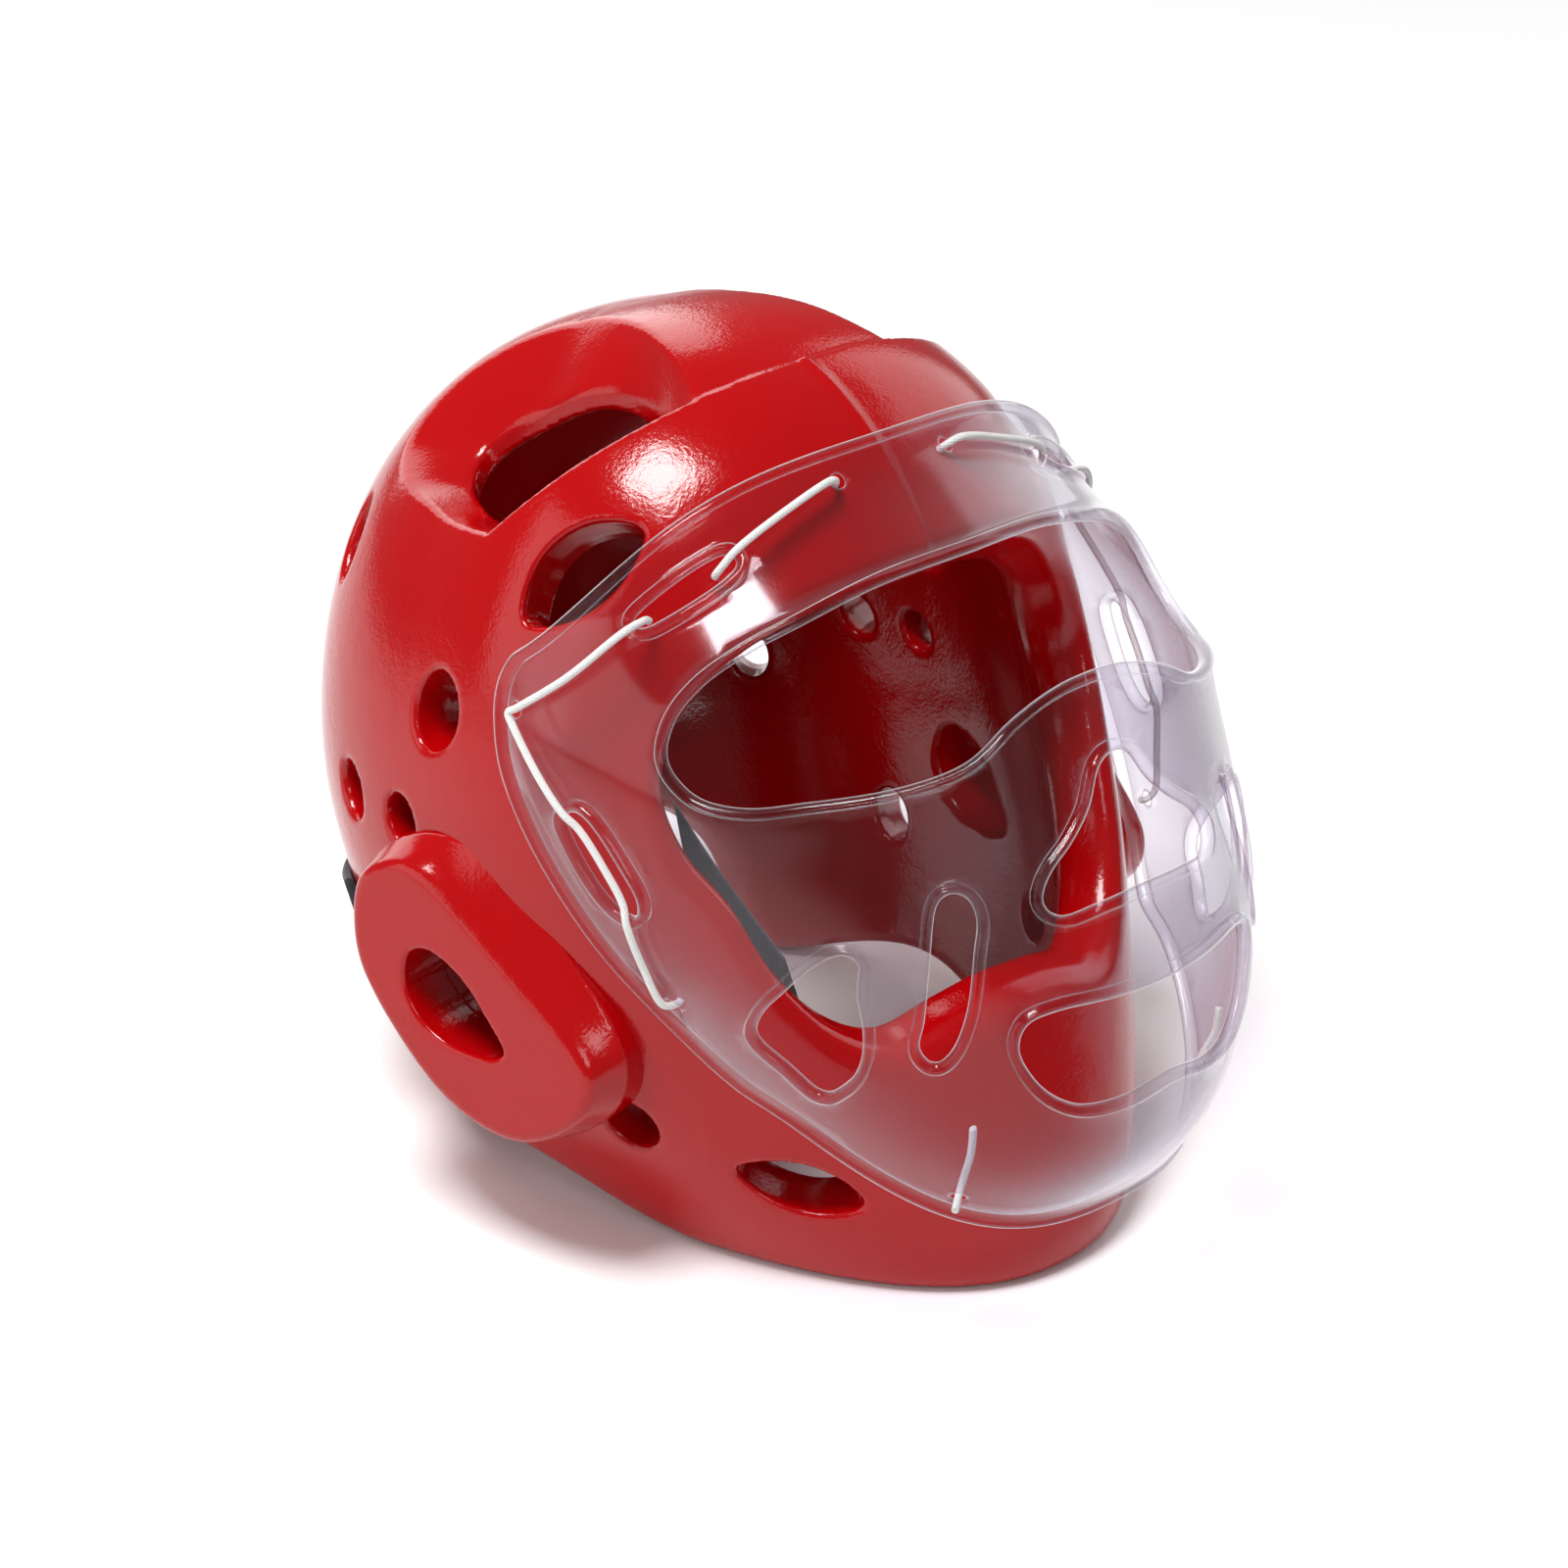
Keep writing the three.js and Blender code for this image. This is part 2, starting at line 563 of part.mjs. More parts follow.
function crownVentCutter() {
  const place = (across, back, inset) => {
    const x = -across * CROWN_VENT_WIDTH;
    const y = back * CROWN_VENT_LENGTH;
    return new THREE.Vector3(x, y, shellTop(x, y, inset));
  };
  const closed = (points) => new THREE.CatmullRomCurve3(points, true, 'centripetal').getPoints(26).slice(0, -1);
  const rim = closed(CROWN_VENT_ROWS.map((row) => place(row.rimAcross, row.rimBack, 0)));
  const hole = closed(CROWN_VENT_ROWS.map((row) => place(row.holeAcross, row.holeBack, CROWN_VENT_BEVEL)));
  const past = rim.map((point) => new THREE.Vector3(point.x * 1.02, point.y, point.z + 40));
  const below = hole.map((point) => point.clone().multiplyScalar(0.92).add(new THREE.Vector3(0, 0, -38)));
  return solid(loft([below, hole, rim, past]));
}

// Vent through the side wall: bevelled at the surface, straight through the rest of the wall.
function sideVentCutter({ turn, up, length, width, lean, slant }) {
  const z = up * (up > 0 ? CROWN_HEIGHT : CHIN_DROP);
  const centre = shellPoint(z, toRadians(turn), 0);
  const out = new THREE.Vector3(-Math.cos(toRadians(turn)), -Math.sin(toRadians(turn)), Math.tan(toRadians(slant)));
  out.normalize();
  const ahead = new THREE.Vector3(-out.y, out.x, 0).normalize();
  const rise = new THREE.Vector3().crossVectors(out, ahead).normalize();
  const long = ahead.clone().multiplyScalar(Math.cos(toRadians(lean)));
  long.addScaledVector(rise, Math.sin(toRadians(lean)));
  const wide = new THREE.Vector3().crossVectors(long, out);
  const steps = 10;
  const ring = (distance, scale) => Array.from({ length: steps }, (unused, k) => {
    const angle = (2 * Math.PI * k) / steps;
    const point = centre.clone().addScaledVector(out, distance);
    point.addScaledVector(wide, 0.5 * scale * width * SIDE_VENT_LENGTH * Math.sin(angle));
    return point.addScaledVector(long, 0.5 * scale * length * SIDE_VENT_LENGTH * Math.cos(angle));
  });
  return solid(loft([ring(-2.2 * FOAM_WALL, 0.8), ring(-SIDE_VENT_BEVEL, 0.8), ring(SIDE_VENT_BEVEL, 1.15)]));
}

// Frame of the ear pad's outer face: along runs forwards on it, out points away from the head.
function earPadFrame() {
  const yaw = toRadians(EAR_PAD_YAW);
  const along = new THREE.Vector3(Math.sin(yaw), -Math.cos(yaw), 0);
  const out = new THREE.Vector3(-Math.cos(yaw), -Math.sin(yaw), 0);
  const origin = new THREE.Vector3(-SHELL_HALF_WIDTH - EAR_PAD_PROUD, EAR_PAD_START, 0);
  const up = new THREE.Vector3(0, 0, 1);
  return new THREE.Matrix4().makeBasis(along, up, out.clone()).setPosition(origin);
}

// Smooth closed outline through the rows of an ear table, with a named column carried along it.
function earOutline(rows, steps, name) {
  const points = rows.map((row) => {
    return new THREE.Vector3(row.along * EAR_PAD_LENGTH, row.up * EAR_PAD_LENGTH, name ? row[name] * EAR_PAD_FLARE : 0);
  });
  return new THREE.CatmullRomCurve3(points, true, 'centripetal').getPoints(steps).slice(0, -1);
}

// Ring of an outline at a depth below the pad's face, moved outwards by a distance at each point.
function earRing(outline, depth, spread) {
  const last = outline.length;
  return outline.map((point, i) => {
    const along = outline[(i + 1) % last].clone().sub(outline[(i + last - 1) % last]);
    const outward = new THREE.Vector2(-along.y, along.x).normalize();
    const move = spread(point.z);
    return new THREE.Vector3(point.x + outward.x * move, point.y + outward.y * move, -depth);
  });
}

function earHoleCutter(mouth) {
  const outline = earOutline(EAR_HOLE_ROWS, 22, null);
  const ring = (depth, spread) => earRing(outline, depth, () => spread);
  const rings = [ring(3 * FOAM_WALL, 0), ring(mouth, 0), ring(-EAR_PAD_EDGE, 2 * mouth)];
  const cutter = loft(rings);
  cutter.applyMatrix4(earPadFrame());
  return solid(cutter);
}

function earPad() {
  const outline = earOutline(EAR_PAD_ROWS, 32, 'flare');
  const body = loft([
    earRing(outline, 3 * FOAM_WALL, (flare) => flare),
    earRing(outline, EAR_PAD_FLARE_DEPTH, (flare) => flare),
    earRing(outline, EAR_PAD_EDGE, () => 0),
    earRing(outline, 0.3 * EAR_PAD_EDGE, () => -0.3 * EAR_PAD_EDGE),
    earRing(outline, 0, () => -EAR_PAD_EDGE),
  ]);
  body.applyMatrix4(earPadFrame());
  const head = solid(shellSkin(-CLEARANCE, RING_STEPS, -CHIN_DROP));
  return geometryOf(largestBody(solid(body).subtract(head).subtract(earHoleCutter(EAR_PAD_EDGE))));
}

// Arch left open at the nape, which the strap closes.
function napeArchCutter() {
  const arch = new THREE.Shape();
  const floor = -2 * CHIN_DROP;
  const radius = 0.6 * NAPE_ARCH_HALF_WIDTH;
  const top = -NAPE_ARCH_TOP;
  arch.moveTo(-NAPE_ARCH_HALF_WIDTH, floor);
  arch.lineTo(NAPE_ARCH_HALF_WIDTH, floor);
  arch.lineTo(NAPE_ARCH_HALF_WIDTH, top - radius);
  arch.quadraticCurveTo(NAPE_ARCH_HALF_WIDTH, top, NAPE_ARCH_HALF_WIDTH - radius, top);
  arch.lineTo(radius - NAPE_ARCH_HALF_WIDTH, top);
  arch.quadraticCurveTo(-NAPE_ARCH_HALF_WIDTH, top, -NAPE_ARCH_HALF_WIDTH, top - radius);
  const depth = 2 * SHELL_REAR_DEPTH;
  const block = new THREE.ExtrudeGeometry(arch, { depth, bevelEnabled: false, curveSegments: 5 });
  block.rotateX(Math.PI / 2);
  block.translate(0, depth, 0);
  return solid(block);
}

function foamShell() {
  const outside = solid(shellSkin(0, RING_STEPS, -CHIN_DROP)).add(foreheadBand());
  const cavity = solid(shellSkin(FOAM_WALL, CAVITY_STEPS, -1.3 * CHIN_DROP));
  const tunnels = Object.values(LACE_ROUTES).map((route) => solid(cord(route, LACE_TUNNEL_DIAMETER, 1.2)));
  const cutters = [crownVentCutter(), earHoleCutter(0), ...SIDE_VENTS.map(sideVentCutter), ...tunnels];
  let shell = outside.subtract(cavity).subtract(faceCutter()).subtract(underRim()).subtract(napeArchCutter());
  cutters.forEach((cutter) => {
    shell = shell.subtract(cutter).subtract(solid(mirrored(geometryOf(cutter))));
  });
  return geometryOf(largestBody(shell));
}

// Middle of the shield sheet; across runs from -1 to 1 and down from 0 to 1.
function shieldPoint(across, down) {
  const row = (name) => column(SHIELD_ROWS, 'down', name, down);
  const sweep = Math.sin((across * Math.PI) / 2);
  const bow = Math.max(Math.cos((across * Math.PI) / 2), 0) ** row('bow');
  const reach = row('sideReach') + (row('midReach') - row('sideReach')) * bow;
  const sideDrop = row('sideDrop');
  const drop = sideDrop + (row('midDrop') - sideDrop) * (1 - Math.abs(sweep) ** row('drape'));
  const top = SHIELD_TOP_LEVEL * CROWN_HEIGHT;
  const foot = -SHIELD_FOOT_LEVEL * CHIN_DROP;
  return new THREE.Vector3(
    (SHELL_HALF_WIDTH - SHIELD_TUCK) * row('sideAcross') * sweep,
    -(SHELL_FRONT_DEPTH + SHIELD_STANDOFF) * reach,
    top + (foot - top) * drop,
  );
}

function shieldNormal(across, down) {
  const step = 0.004;
  const edge = 1 - step;
  const u = THREE.MathUtils.clamp(across, -edge, edge);
  const v = THREE.MathUtils.clamp(down, step, edge);
  const right = shieldPoint(u + step, v).sub(shieldPoint(u - step, v));
  const fall = shieldPoint(u, v + step).sub(shieldPoint(u, v - step));
  return fall.cross(right).normalize();
}

function onShield(across, down, lift) {
  return shieldPoint(across, down).addScaledVector(shieldNormal(across, down), lift);
}

// The flat sheet is drawn on a slightly domed pattern, 100 across and 100 down, and then bent.
const PATTERN = 100;
const PATTERN_DOME = 0.002;

function patternLift(x, y) {
  return PATTERN_DOME * (x * x + y * y);
}

function shieldCutter(rows, side) {
  const points = rows.map(({ across, down }) => new THREE.Vector3(side * across * PATTERN, -down * PATTERN, 0));
  const smooth = new THREE.CatmullRomCurve3(points, true, 'centripetal').getPoints(2 * rows.length);
  const shape = new THREE.Shape(smooth.slice(0, -1).map((point) => new THREE.Vector2(point.x, point.y)));
  const block = new THREE.ExtrudeGeometry(shape, { depth: PATTERN, bevelEnabled: false });
  block.translate(0, 0, -PATTERN / 4);
  return solid(block);
}

function middleOpening(half) {
  const other = half.slice(1, -1).reverse().map(({ across, down }) => ({ across: -across, down }));
  return [...half, ...other];
}

// Round lace hole on the pattern, stretched there so that it is round once the sheet is bent.
function laceHole({ across, down }) {
  const step = 0.01;
  const wide = shieldPoint(across + step, down).distanceTo(shieldPoint(across - step, down)) / (2 * step);
  const tall = shieldPoint(across, down + step / 2).distanceTo(shieldPoint(across, down - step / 2)) / step;
  return Array.from({ length: 5 }, (unused, k) => {
    const angle = (2 * Math.PI * k) / 5;
    return {
      across: across + (LACE_HOLE_RADIUS / wide) * Math.cos(angle),
      down: down + (LACE_HOLE_RADIUS / tall) * Math.sin(angle),
    };
  });
}

function shieldPattern() {
  const sheet = new THREE.BoxGeometry(
    2 * PATTERN, PATTERN, SHIELD_THICKNESS, SHIELD_STEPS_ACROSS, SHIELD_STEPS_DOWN, 1,
  );
  sheet.translate(0, -PATTERN / 2, 0);
  const place = sheet.attributes.position;
  for (let i = 0; i < place.count; i += 1) {
    place.setZ(i, place.getZ(i) + patternLift(place.getX(i), place.getY(i)));
  }
  let pattern = solid(sheet);
  [EYE_OPENING, NOSE_OPENING, MOUTH_OPENING].forEach((half) => {
    pattern = pattern.subtract(shieldCutter(middleOpening(half), 1));
  });
  const sidePieces = [CHEEK_FIN, CHEEK_SLOT, UPPER_LACE_SLOT, SIDE_LACE_SLOT, ...LACE_HOLES.map(laceHole)];
  sidePieces.forEach((rows) => {
    pattern = pattern.subtract(shieldCutter(rows, 1)).subtract(shieldCutter(rows, -1));
  });
  return pattern;
}

function faceShield() {
  const geometry = geometryOf(shieldPattern());
  const place = geometry.attributes.position;
  for (let i = 0; i < place.count; i += 1) {
    const [x, y] = [place.getX(i), place.getY(i)];
    const point = onShield(x / PATTERN, -y / PATTERN, place.getZ(i) - patternLift(x, y));
    place.setXYZ(i, point.x, point.y, point.z);
  }
  let shield = solid(geometry);
  Object.values(LACE_ROUTES).forEach((route) => {
    const tunnel = cord(route, LACE_DIAMETER + 2.4 * CLEARANCE, 0.5);
    shield = shield.subtract(solid(tunnel)).subtract(solid(mirrored(tunnel)));
  });
  return geometryOf(largestBody(shield));
}

// Round cord along a route on the right side of the shield, reaching a little past both of its ends.
function cord(route, diameter, reach) {
  const points = route.map(({ across, down, lift }) => onShield(-across, down, lift));
  const past = (end, next) => end.clone().addScaledVector(end.clone().sub(next).normalize(), reach);
  if (reach > 0) points.unshift(past(points[0], points[1]));
  if (reach > 0) points.push(past(points.at(-1), points.at(-2)));
  const path = new THREE.CatmullRomCurve3(points, false, 'centripetal');
  const section = new THREE.Shape();
  for (let k = 0; k < LACE_SIDES; k += 1) {
    const angle = (2 * Math.PI * k) / LACE_SIDES;
    const corner = [(diameter / 2) * Math.cos(angle), (diameter / 2) * Math.sin(angle)];
    if (k === 0) section.moveTo(...corner);
    else section.lineTo(...corner);
  }
  const steps = Math.min(Math.round(path.getLength() / (2 * LACE_DIAMETER)), 80);
  const tube = new THREE.ExtrudeGeometry(section, { steps, extrudePath: path, bevelEnabled: false });
  return geometryOf(solid(tube));
}

// Flat band laid along the shell at a height, between two directions round the head.
function wrappedBand({ fromAngle, toAngle, steps, topAt, width, near, far }) {
  const rings = [];
  for (let i = 0; i <= steps; i += 1) {
    const angle = toRadians(fromAngle + ((toAngle - fromAngle) * i) / steps);
    const top = topAt(i / steps);
    rings.push([
      shellPoint(top - width, angle, near),
      shellPoint(top - width, angle, far),
      shellPoint(top, angle, far),
      shellPoint(top, angle, near),
    ]);
  }
  return geometryOf(solid(loft(rings)));
}

function napeStrap() {
  return wrappedBand({
    fromAngle: -27, toAngle: -153, steps: 30, topAt: () => -STRAP_TOP, width: STRAP_WIDTH,
    near: -1.5 * CLEARANCE, far: -1.5 * CLEARANCE - STRAP_THICKNESS,
  });
}

function strapTail() {
  const inner = FOAM_WALL + CLEARANCE + FACET_ALLOWANCE;
  return wrappedBand({
    fromAngle: 18, toAngle: 56, steps: 10, topAt: (share) => 14 - 26 * share, width: TAIL_WIDTH,
    near: inner + TAIL_THICKNESS, far: inner,
  });
}

function piece(name, geometry, finish) {
  geometry.computeVertexNormals();
  const mesh = new THREE.Mesh(geometry, new THREE.MeshStandardMaterial(finish));
  mesh.name = name;
  return mesh;
}

// The laces of one side, drawn for the right and mirrored for the left.
function laces() {
  return Object.entries(LACE_ROUTES).flatMap(([name, route]) => {
    const right = cord(route, LACE_DIAMETER, 0);
    return [piece(`${name}_right`, right, WHITE), piece(`${name}_left`, mirrored(right), WHITE)];
  });
}

const headgear = new THREE.Group();
const pad = earPad();
headgear.add(
  piece('foam_shell', foamShell(), RED),
  piece('ear_pad_right', pad, RED),
  piece('ear_pad_left', mirrored(pad), RED),
  piece('face_shield', faceShield(), CLEAR),
  piece('nape_strap', napeStrap(), BLACK),
  piece('strap_tail', strapTail(), BLACK),
  ...laces(),
);
headgear.rotation.x = -toRadians(REST_PITCH);
headgear.position.z = REST_DROP;

// The origin is under the middle of the headgear, on the surface that it stands on.
const standing = new THREE.Group();
standing.add(headgear);
standing.updateMatrixWorld(true);
headgear.position.y = -new THREE.Box3().setFromObject(standing, true).getCenter(new THREE.Vector3()).y;

export default standing;
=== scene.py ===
"""Looks of a full-face sparring headgear with a clear face shield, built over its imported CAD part."""

import logging
import math
from dataclasses import dataclass, field
from enum import Enum
from typing import Callable, NamedTuple, Sequence

import bpy
import numpy as np
import openvdb
from mathutils import Matrix, Vector
from mathutils.geometry import delaunay_2d_cdt


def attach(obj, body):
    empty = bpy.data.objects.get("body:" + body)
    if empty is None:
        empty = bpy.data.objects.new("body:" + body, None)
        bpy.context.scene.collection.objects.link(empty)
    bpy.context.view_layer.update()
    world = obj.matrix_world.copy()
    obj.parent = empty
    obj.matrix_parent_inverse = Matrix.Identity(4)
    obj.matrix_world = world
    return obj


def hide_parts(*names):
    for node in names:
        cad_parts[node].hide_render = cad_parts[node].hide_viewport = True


logging.basicConfig(level=logging.INFO, format="%(message)s")
LOG = logging.getLogger("headgear")

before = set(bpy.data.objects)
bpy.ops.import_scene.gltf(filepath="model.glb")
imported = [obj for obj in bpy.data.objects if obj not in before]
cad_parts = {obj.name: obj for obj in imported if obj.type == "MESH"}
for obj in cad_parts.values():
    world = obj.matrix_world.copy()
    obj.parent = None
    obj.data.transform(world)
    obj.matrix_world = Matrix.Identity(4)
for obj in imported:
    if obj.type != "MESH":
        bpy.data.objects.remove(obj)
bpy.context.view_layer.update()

Array = np.ndarray
Field = Callable[[Array], Array]
Colour = tuple[float, float, float, float]
Socket = bpy.types.NodeSocket
CURVE_SAMPLES = 1201
CURVE_MARGIN = 0.12


class Side(Enum):
    """Side of the headgear, as the sign of its X."""

    RIGHT = -1
    LEFT = 1


class LoopRole(Enum):
    """How a closed outline on the shield is used."""

    RIM = "rim"
    OPENING = "opening"


@dataclass(frozen=True)
class Stance:
    """How the headgear stands: drawn upright in millimetres, then tipped back onto its rim."""

    pitch: float = math.radians(17.0)
    drop: float = 92.0
    shift: float = 32.38

    def to_scene(self, points: Array) -> Array:
        """Moves upright points to where they stand.

        Args:
            points: Upright points in millimetres, one per row.

        Returns:
            The same points in metres in the scene.
        """
        x, y, z = np.asarray(points, float).T
        cos, sin = math.cos(self.pitch), math.sin(self.pitch)
        return np.stack([x, y * cos + z * sin + self.shift, z * cos - y * sin + self.drop], 1) / 1000

    def level(self, points: Array) -> Array:
        """Height of upright points over the surface that the headgear stands on, in millimetres."""
        return points[:, 2] * math.cos(self.pitch) - points[:, 1] * math.sin(self.pitch) + self.drop

    def along(self, points: Array) -> Array:
        """Place of upright points along the standing Y axis, without the shift, in millimetres."""
        return points[:, 1] * math.cos(self.pitch) + points[:, 2] * math.sin(self.pitch)


STANCE = Stance()


def smooth_max(a: Array, b: Array, round_over: float) -> Array:
    """Larger of two fields, with the crease between them rounded over.

    Args:
        a: First field.
        b: Second field.
        round_over: Width of the rounding in millimetres.

    Returns:
        The blended field.
    """
    h = np.maximum(round_over - np.abs(a - b), 0) / round_over
    return np.maximum(a, b) + h * h * round_over / 4


def smooth_min(a: Array, b: Array, round_over: float) -> Array:
    """Smaller of two fields, with the crease between them filled."""
    return -smooth_max(-a, -b, round_over)


def smooth_step(value: Array, low: float, high: float) -> Array:
    """Eases from 0 at low to 1 at high."""
    t = np.clip((value - low) / (high - low), 0, 1)
    return t * t * (3 - 2 * t)


def hermite_column(keys: Sequence[float], values: Sequence[float], soften: float) -> Field:
    """Smooth curve through a table column.

    Args:
        keys: Rising places of the rows.
        values: Values of the rows.
        soften: Width over which the curve is evened out, as a share of its span.

    Returns:
        A function that reads the curve at an array of places.
    """
    k, v = np.asarray(keys, float), np.asarray(values, float)
    low, high = np.maximum(np.arange(len(k)) - 1, 0), np.minimum(np.arange(len(k)) + 1, len(k) - 1)
    slope = (v[high] - v[low]) / (k[high] - k[low])
    margin = CURVE_MARGIN * (k[-1] - k[0])
    fine = np.linspace(k[0] - margin, k[-1] + margin, CURVE_SAMPLES)
    i = np.clip(np.searchsorted(k, fine) - 1, 0, len(k) - 2)
    span = k[i + 1] - k[i]
    s = np.clip((fine - k[i]) / span, 0, 1)
    curve = v[i] + (v[i + 1] - v[i]) * s * s * (3 - 2 * s)
    curve += s * (1 - s) * (slope[i] * (1 - s) - slope[i + 1] * s) * span
    curve += np.minimum(fine - k[0], 0) * slope[0] + np.maximum(fine - k[-1], 0) * slope[-1]
    step = fine[1] - fine[0]
    reach = int(3 * soften * (k[-1] - k[0]) / step)
    weights = np.exp(-0.5 * (np.arange(-reach, reach + 1) * step / (soften * (k[-1] - k[0]))) ** 2)
    padded = np.pad(curve, reach, mode="reflect", reflect_type="odd")
    curve = np.convolve(padded, weights / weights.sum(), "valid")
    return lambda places: np.interp(places, fine, curve)


def read_columns(rows: Sequence[NamedTuple], soften: float) -> dict[str, Field]:
    """Smooth curves through the columns of a table, over the places in its first column."""
    places = [row[0] for row in rows]
    names = rows[0]._fields[1:]
    return {name: hermite_column(places, [getattr(row, name) for row in rows], soften) for name in names}


def closed_curve(points: Array, per_span: int) -> Array:
    """Closed smooth curve through points, with knots spaced by the root of their distance.

    Args:
        points: Corner points, one per row.
        per_span: Points made between two corner points.

    Returns:
        The points of the curve, without a repeat of the first.
    """
    p = [np.roll(points, shift, axis=0) for shift in (1, 0, -1, -2)]
    gaps = [np.maximum(np.linalg.norm(p[i + 1] - p[i], axis=1), 1e-6) ** 0.5 for i in range(3)]
    a, b, c = (g[:, None] for g in gaps)
    start = ((p[1] - p[0]) / a - (p[2] - p[0]) / (a + b) + (p[2] - p[1]) / b) * b
    end = ((p[2] - p[1]) / b - (p[3] - p[1]) / (b + c) + (p[3] - p[2]) / c) * b
    made = []
    for t in np.arange(per_span) / per_span:
        h = (2 * t**3 - 3 * t**2 + 1, t**3 - 2 * t**2 + t, 3 * t**2 - 2 * t**3, t**3 - t**2)
        made.append(h[0] * p[1] + h[1] * start + h[2] * p[2] + h[3] * end)
    return np.stack(made, 1).reshape(-1, points.shape[1])


def both_sides(half: Sequence[Sequence[float]]) -> Array:
    """Closed outline from the half of it that runs from X = 0 round to X = 0."""
    right = np.array(half, float)
    return np.vstack([right, right[1:-1][::-1] * [-1, 1]])


def inside_loop(points: Array, loop: Array) -> Array:
    """True for each flat point that lies inside a closed loop."""
    inside = np.zeros(len(points), bool)
    for (ax, ay), (bx, by) in zip(loop, np.roll(loop, -1, axis=0)):
        crosses = (ay > points[:, 1]) != (by > points[:, 1])
        rise = by - ay if by != ay else 1e-12
        inside ^= crosses & (points[:, 0] < (bx - ax) * (points[:, 1] - ay) / rise + ax)
    return inside


def loop_distance(points: Array, loop: Array) -> Array:
    """Distance from flat points to a closed loop, negative inside."""
    nearest = np.full(len(points), 1e9)
    for a, b in zip(loop, np.roll(loop, -1, axis=0)):
        edge = b - a
        t = np.clip((points - a) @ edge / max(edge @ edge, 1e-12), 0, 1)
        nearest = np.minimum(nearest, np.linalg.norm(points - a - t[:, None] * edge, axis=1))
    return np.where(inside_loop(points, loop), -nearest, nearest)


@dataclass
class FlatOutline:
    """Closed flat outline whose signed distance is read quickly from a grid."""

    loop: Array
    cells: int = 240
    margin: float = 0.35
    grid: Array = field(init=False)
    low: Array = field(init=False)
    step: Array = field(init=False)

    def __post_init__(self) -> None:
        """Works the distances out once."""
        reach = np.ptp(self.loop, axis=0) * self.margin
        self.low = self.loop.min(0) - reach
        high = self.loop.max(0) + reach
        self.step = (high - self.low) / (self.cells - 1)
        axes = [np.linspace(self.low[i], high[i], self.cells) for i in range(2)]
        flat = np.stack(np.meshgrid(*axes, indexing="ij"), -1).reshape(-1, 2)
        self.grid = loop_distance(flat, self.loop).reshape(self.cells, self.cells)

    def distance(self, a: Array, b: Array) -> Array:
        """Signed distance of points to the outline.

        Args:
            a: First coordinates of the points.
            b: Second coordinates of the points.

        Returns:
            The distances, negative inside the outline.
        """
        at = np.stack([(a - self.low[0]) / self.step[0], (b - self.low[1]) / self.step[1]])
        held = np.clip(at, 0, self.cells - 1.001)
        beyond = np.linalg.norm((at - held) * self.step[:, None], axis=0)
        i = held.astype(int)
        s, t = held - i
        g = self.grid
        near = g[i[0], i[1]] * (1 - s) + g[i[0] + 1, i[1]] * s
        far = g[i[0], i[1] + 1] * (1 - s) + g[i[0] + 1, i[1] + 1] * s
        return near * (1 - t) + far * t + beyond


def mesh_from_field(
    value: Field, low: Sequence[float], high: Sequence[float], step: float, mirrored: bool
) -> tuple[Array, Array]:
    """Skins a field where it crosses zero and settles the skin on the crossing.

    Args:
        value: Field in millimetres, negative in the solid.
        low: Lowest corner; its X is the far side of the half that is worked out when mirrored.
        high: Highest corner; its X is 0 when mirrored.
        step: Spacing of the samples.
        mirrored: Whether the solid is the same on both sides of X = 0.

    Returns:
        Points in millimetres and four-cornered faces.
    """
    counts = [int(math.ceil((high[i] - low[i]) / step)) + 1 for i in range(3)]
    axes = [high[0] - step * np.arange(counts[0])[::-1]]
    axes += [low[i] + step * np.arange(counts[i]) for i in (1, 2)]
    sheets = []
    for x in np.array_split(axes[0], 24):
        block = np.stack(np.meshgrid(x, axes[1], axes[2], indexing="ij"), -1).reshape(-1, 3)
        sheets.append(value(block).reshape(len(x), counts[1], counts[2]))
    samples = np.concatenate(sheets).astype(np.float32)
    if mirrored:
        samples = np.concatenate([samples, samples[-2::-1]])
    samples = np.clip(np.pad(samples, 2, constant_values=4 * step), -4 * step, 4 * step)
    grid = openvdb.FloatGrid(4 * step)
    grid.copyFromArray(samples)
    points, faces = grid.convertToQuads(0.0)
    points = (points - 2) * step + np.array([axes[0][0], axes[1][0], axes[2][0]])
    for _ in range(4):
        here = value(points)
        slope = np.stack([(value(points + e) - value(points - e)) for e in 0.3 * np.eye(3)], 1) / 0.6
        size = np.maximum((slope**2).sum(1), 0.05)
        move = -(here / size)[:, None] * slope
        length = np.linalg.norm(move, axis=1, keepdims=True)
        points = points + move * np.minimum(1, 0.5 * step / np.maximum(length, 1e-9))
    return points, faces


def make_piece(name: str, points: Array, faces: Array) -> bpy.types.Object:
    """Makes a mesh piece from upright points.

    Args:
        name: Name of the piece.
        points: Upright points in millimetres.
        faces: Corner numbers, the same count in each face.

    Returns:
        The piece, linked to the scene.
    """
    placed = STANCE.to_scene(points)
    mesh = bpy.data.meshes.new(name)
    mesh.vertices.add(len(placed))
    mesh.vertices.foreach_set("co", placed.astype(np.float32).ravel())
    sides = faces.shape[1]
    mesh.loops.add(faces.size)
    mesh.loops.foreach_set("vertex_index", faces.astype(np.int32).ravel())
    mesh.polygons.add(len(faces))
    mesh.polygons.foreach_set("loop_start", np.arange(0, faces.size, sides, dtype=np.int32))
    mesh.polygons.foreach_set("use_smooth", np.full(len(faces), True))
    mesh.update(calc_edges=True)
    mesh.validate()
    piece = bpy.data.objects.new(name, mesh)
    bpy.context.scene.collection.objects.link(piece)
    return piece


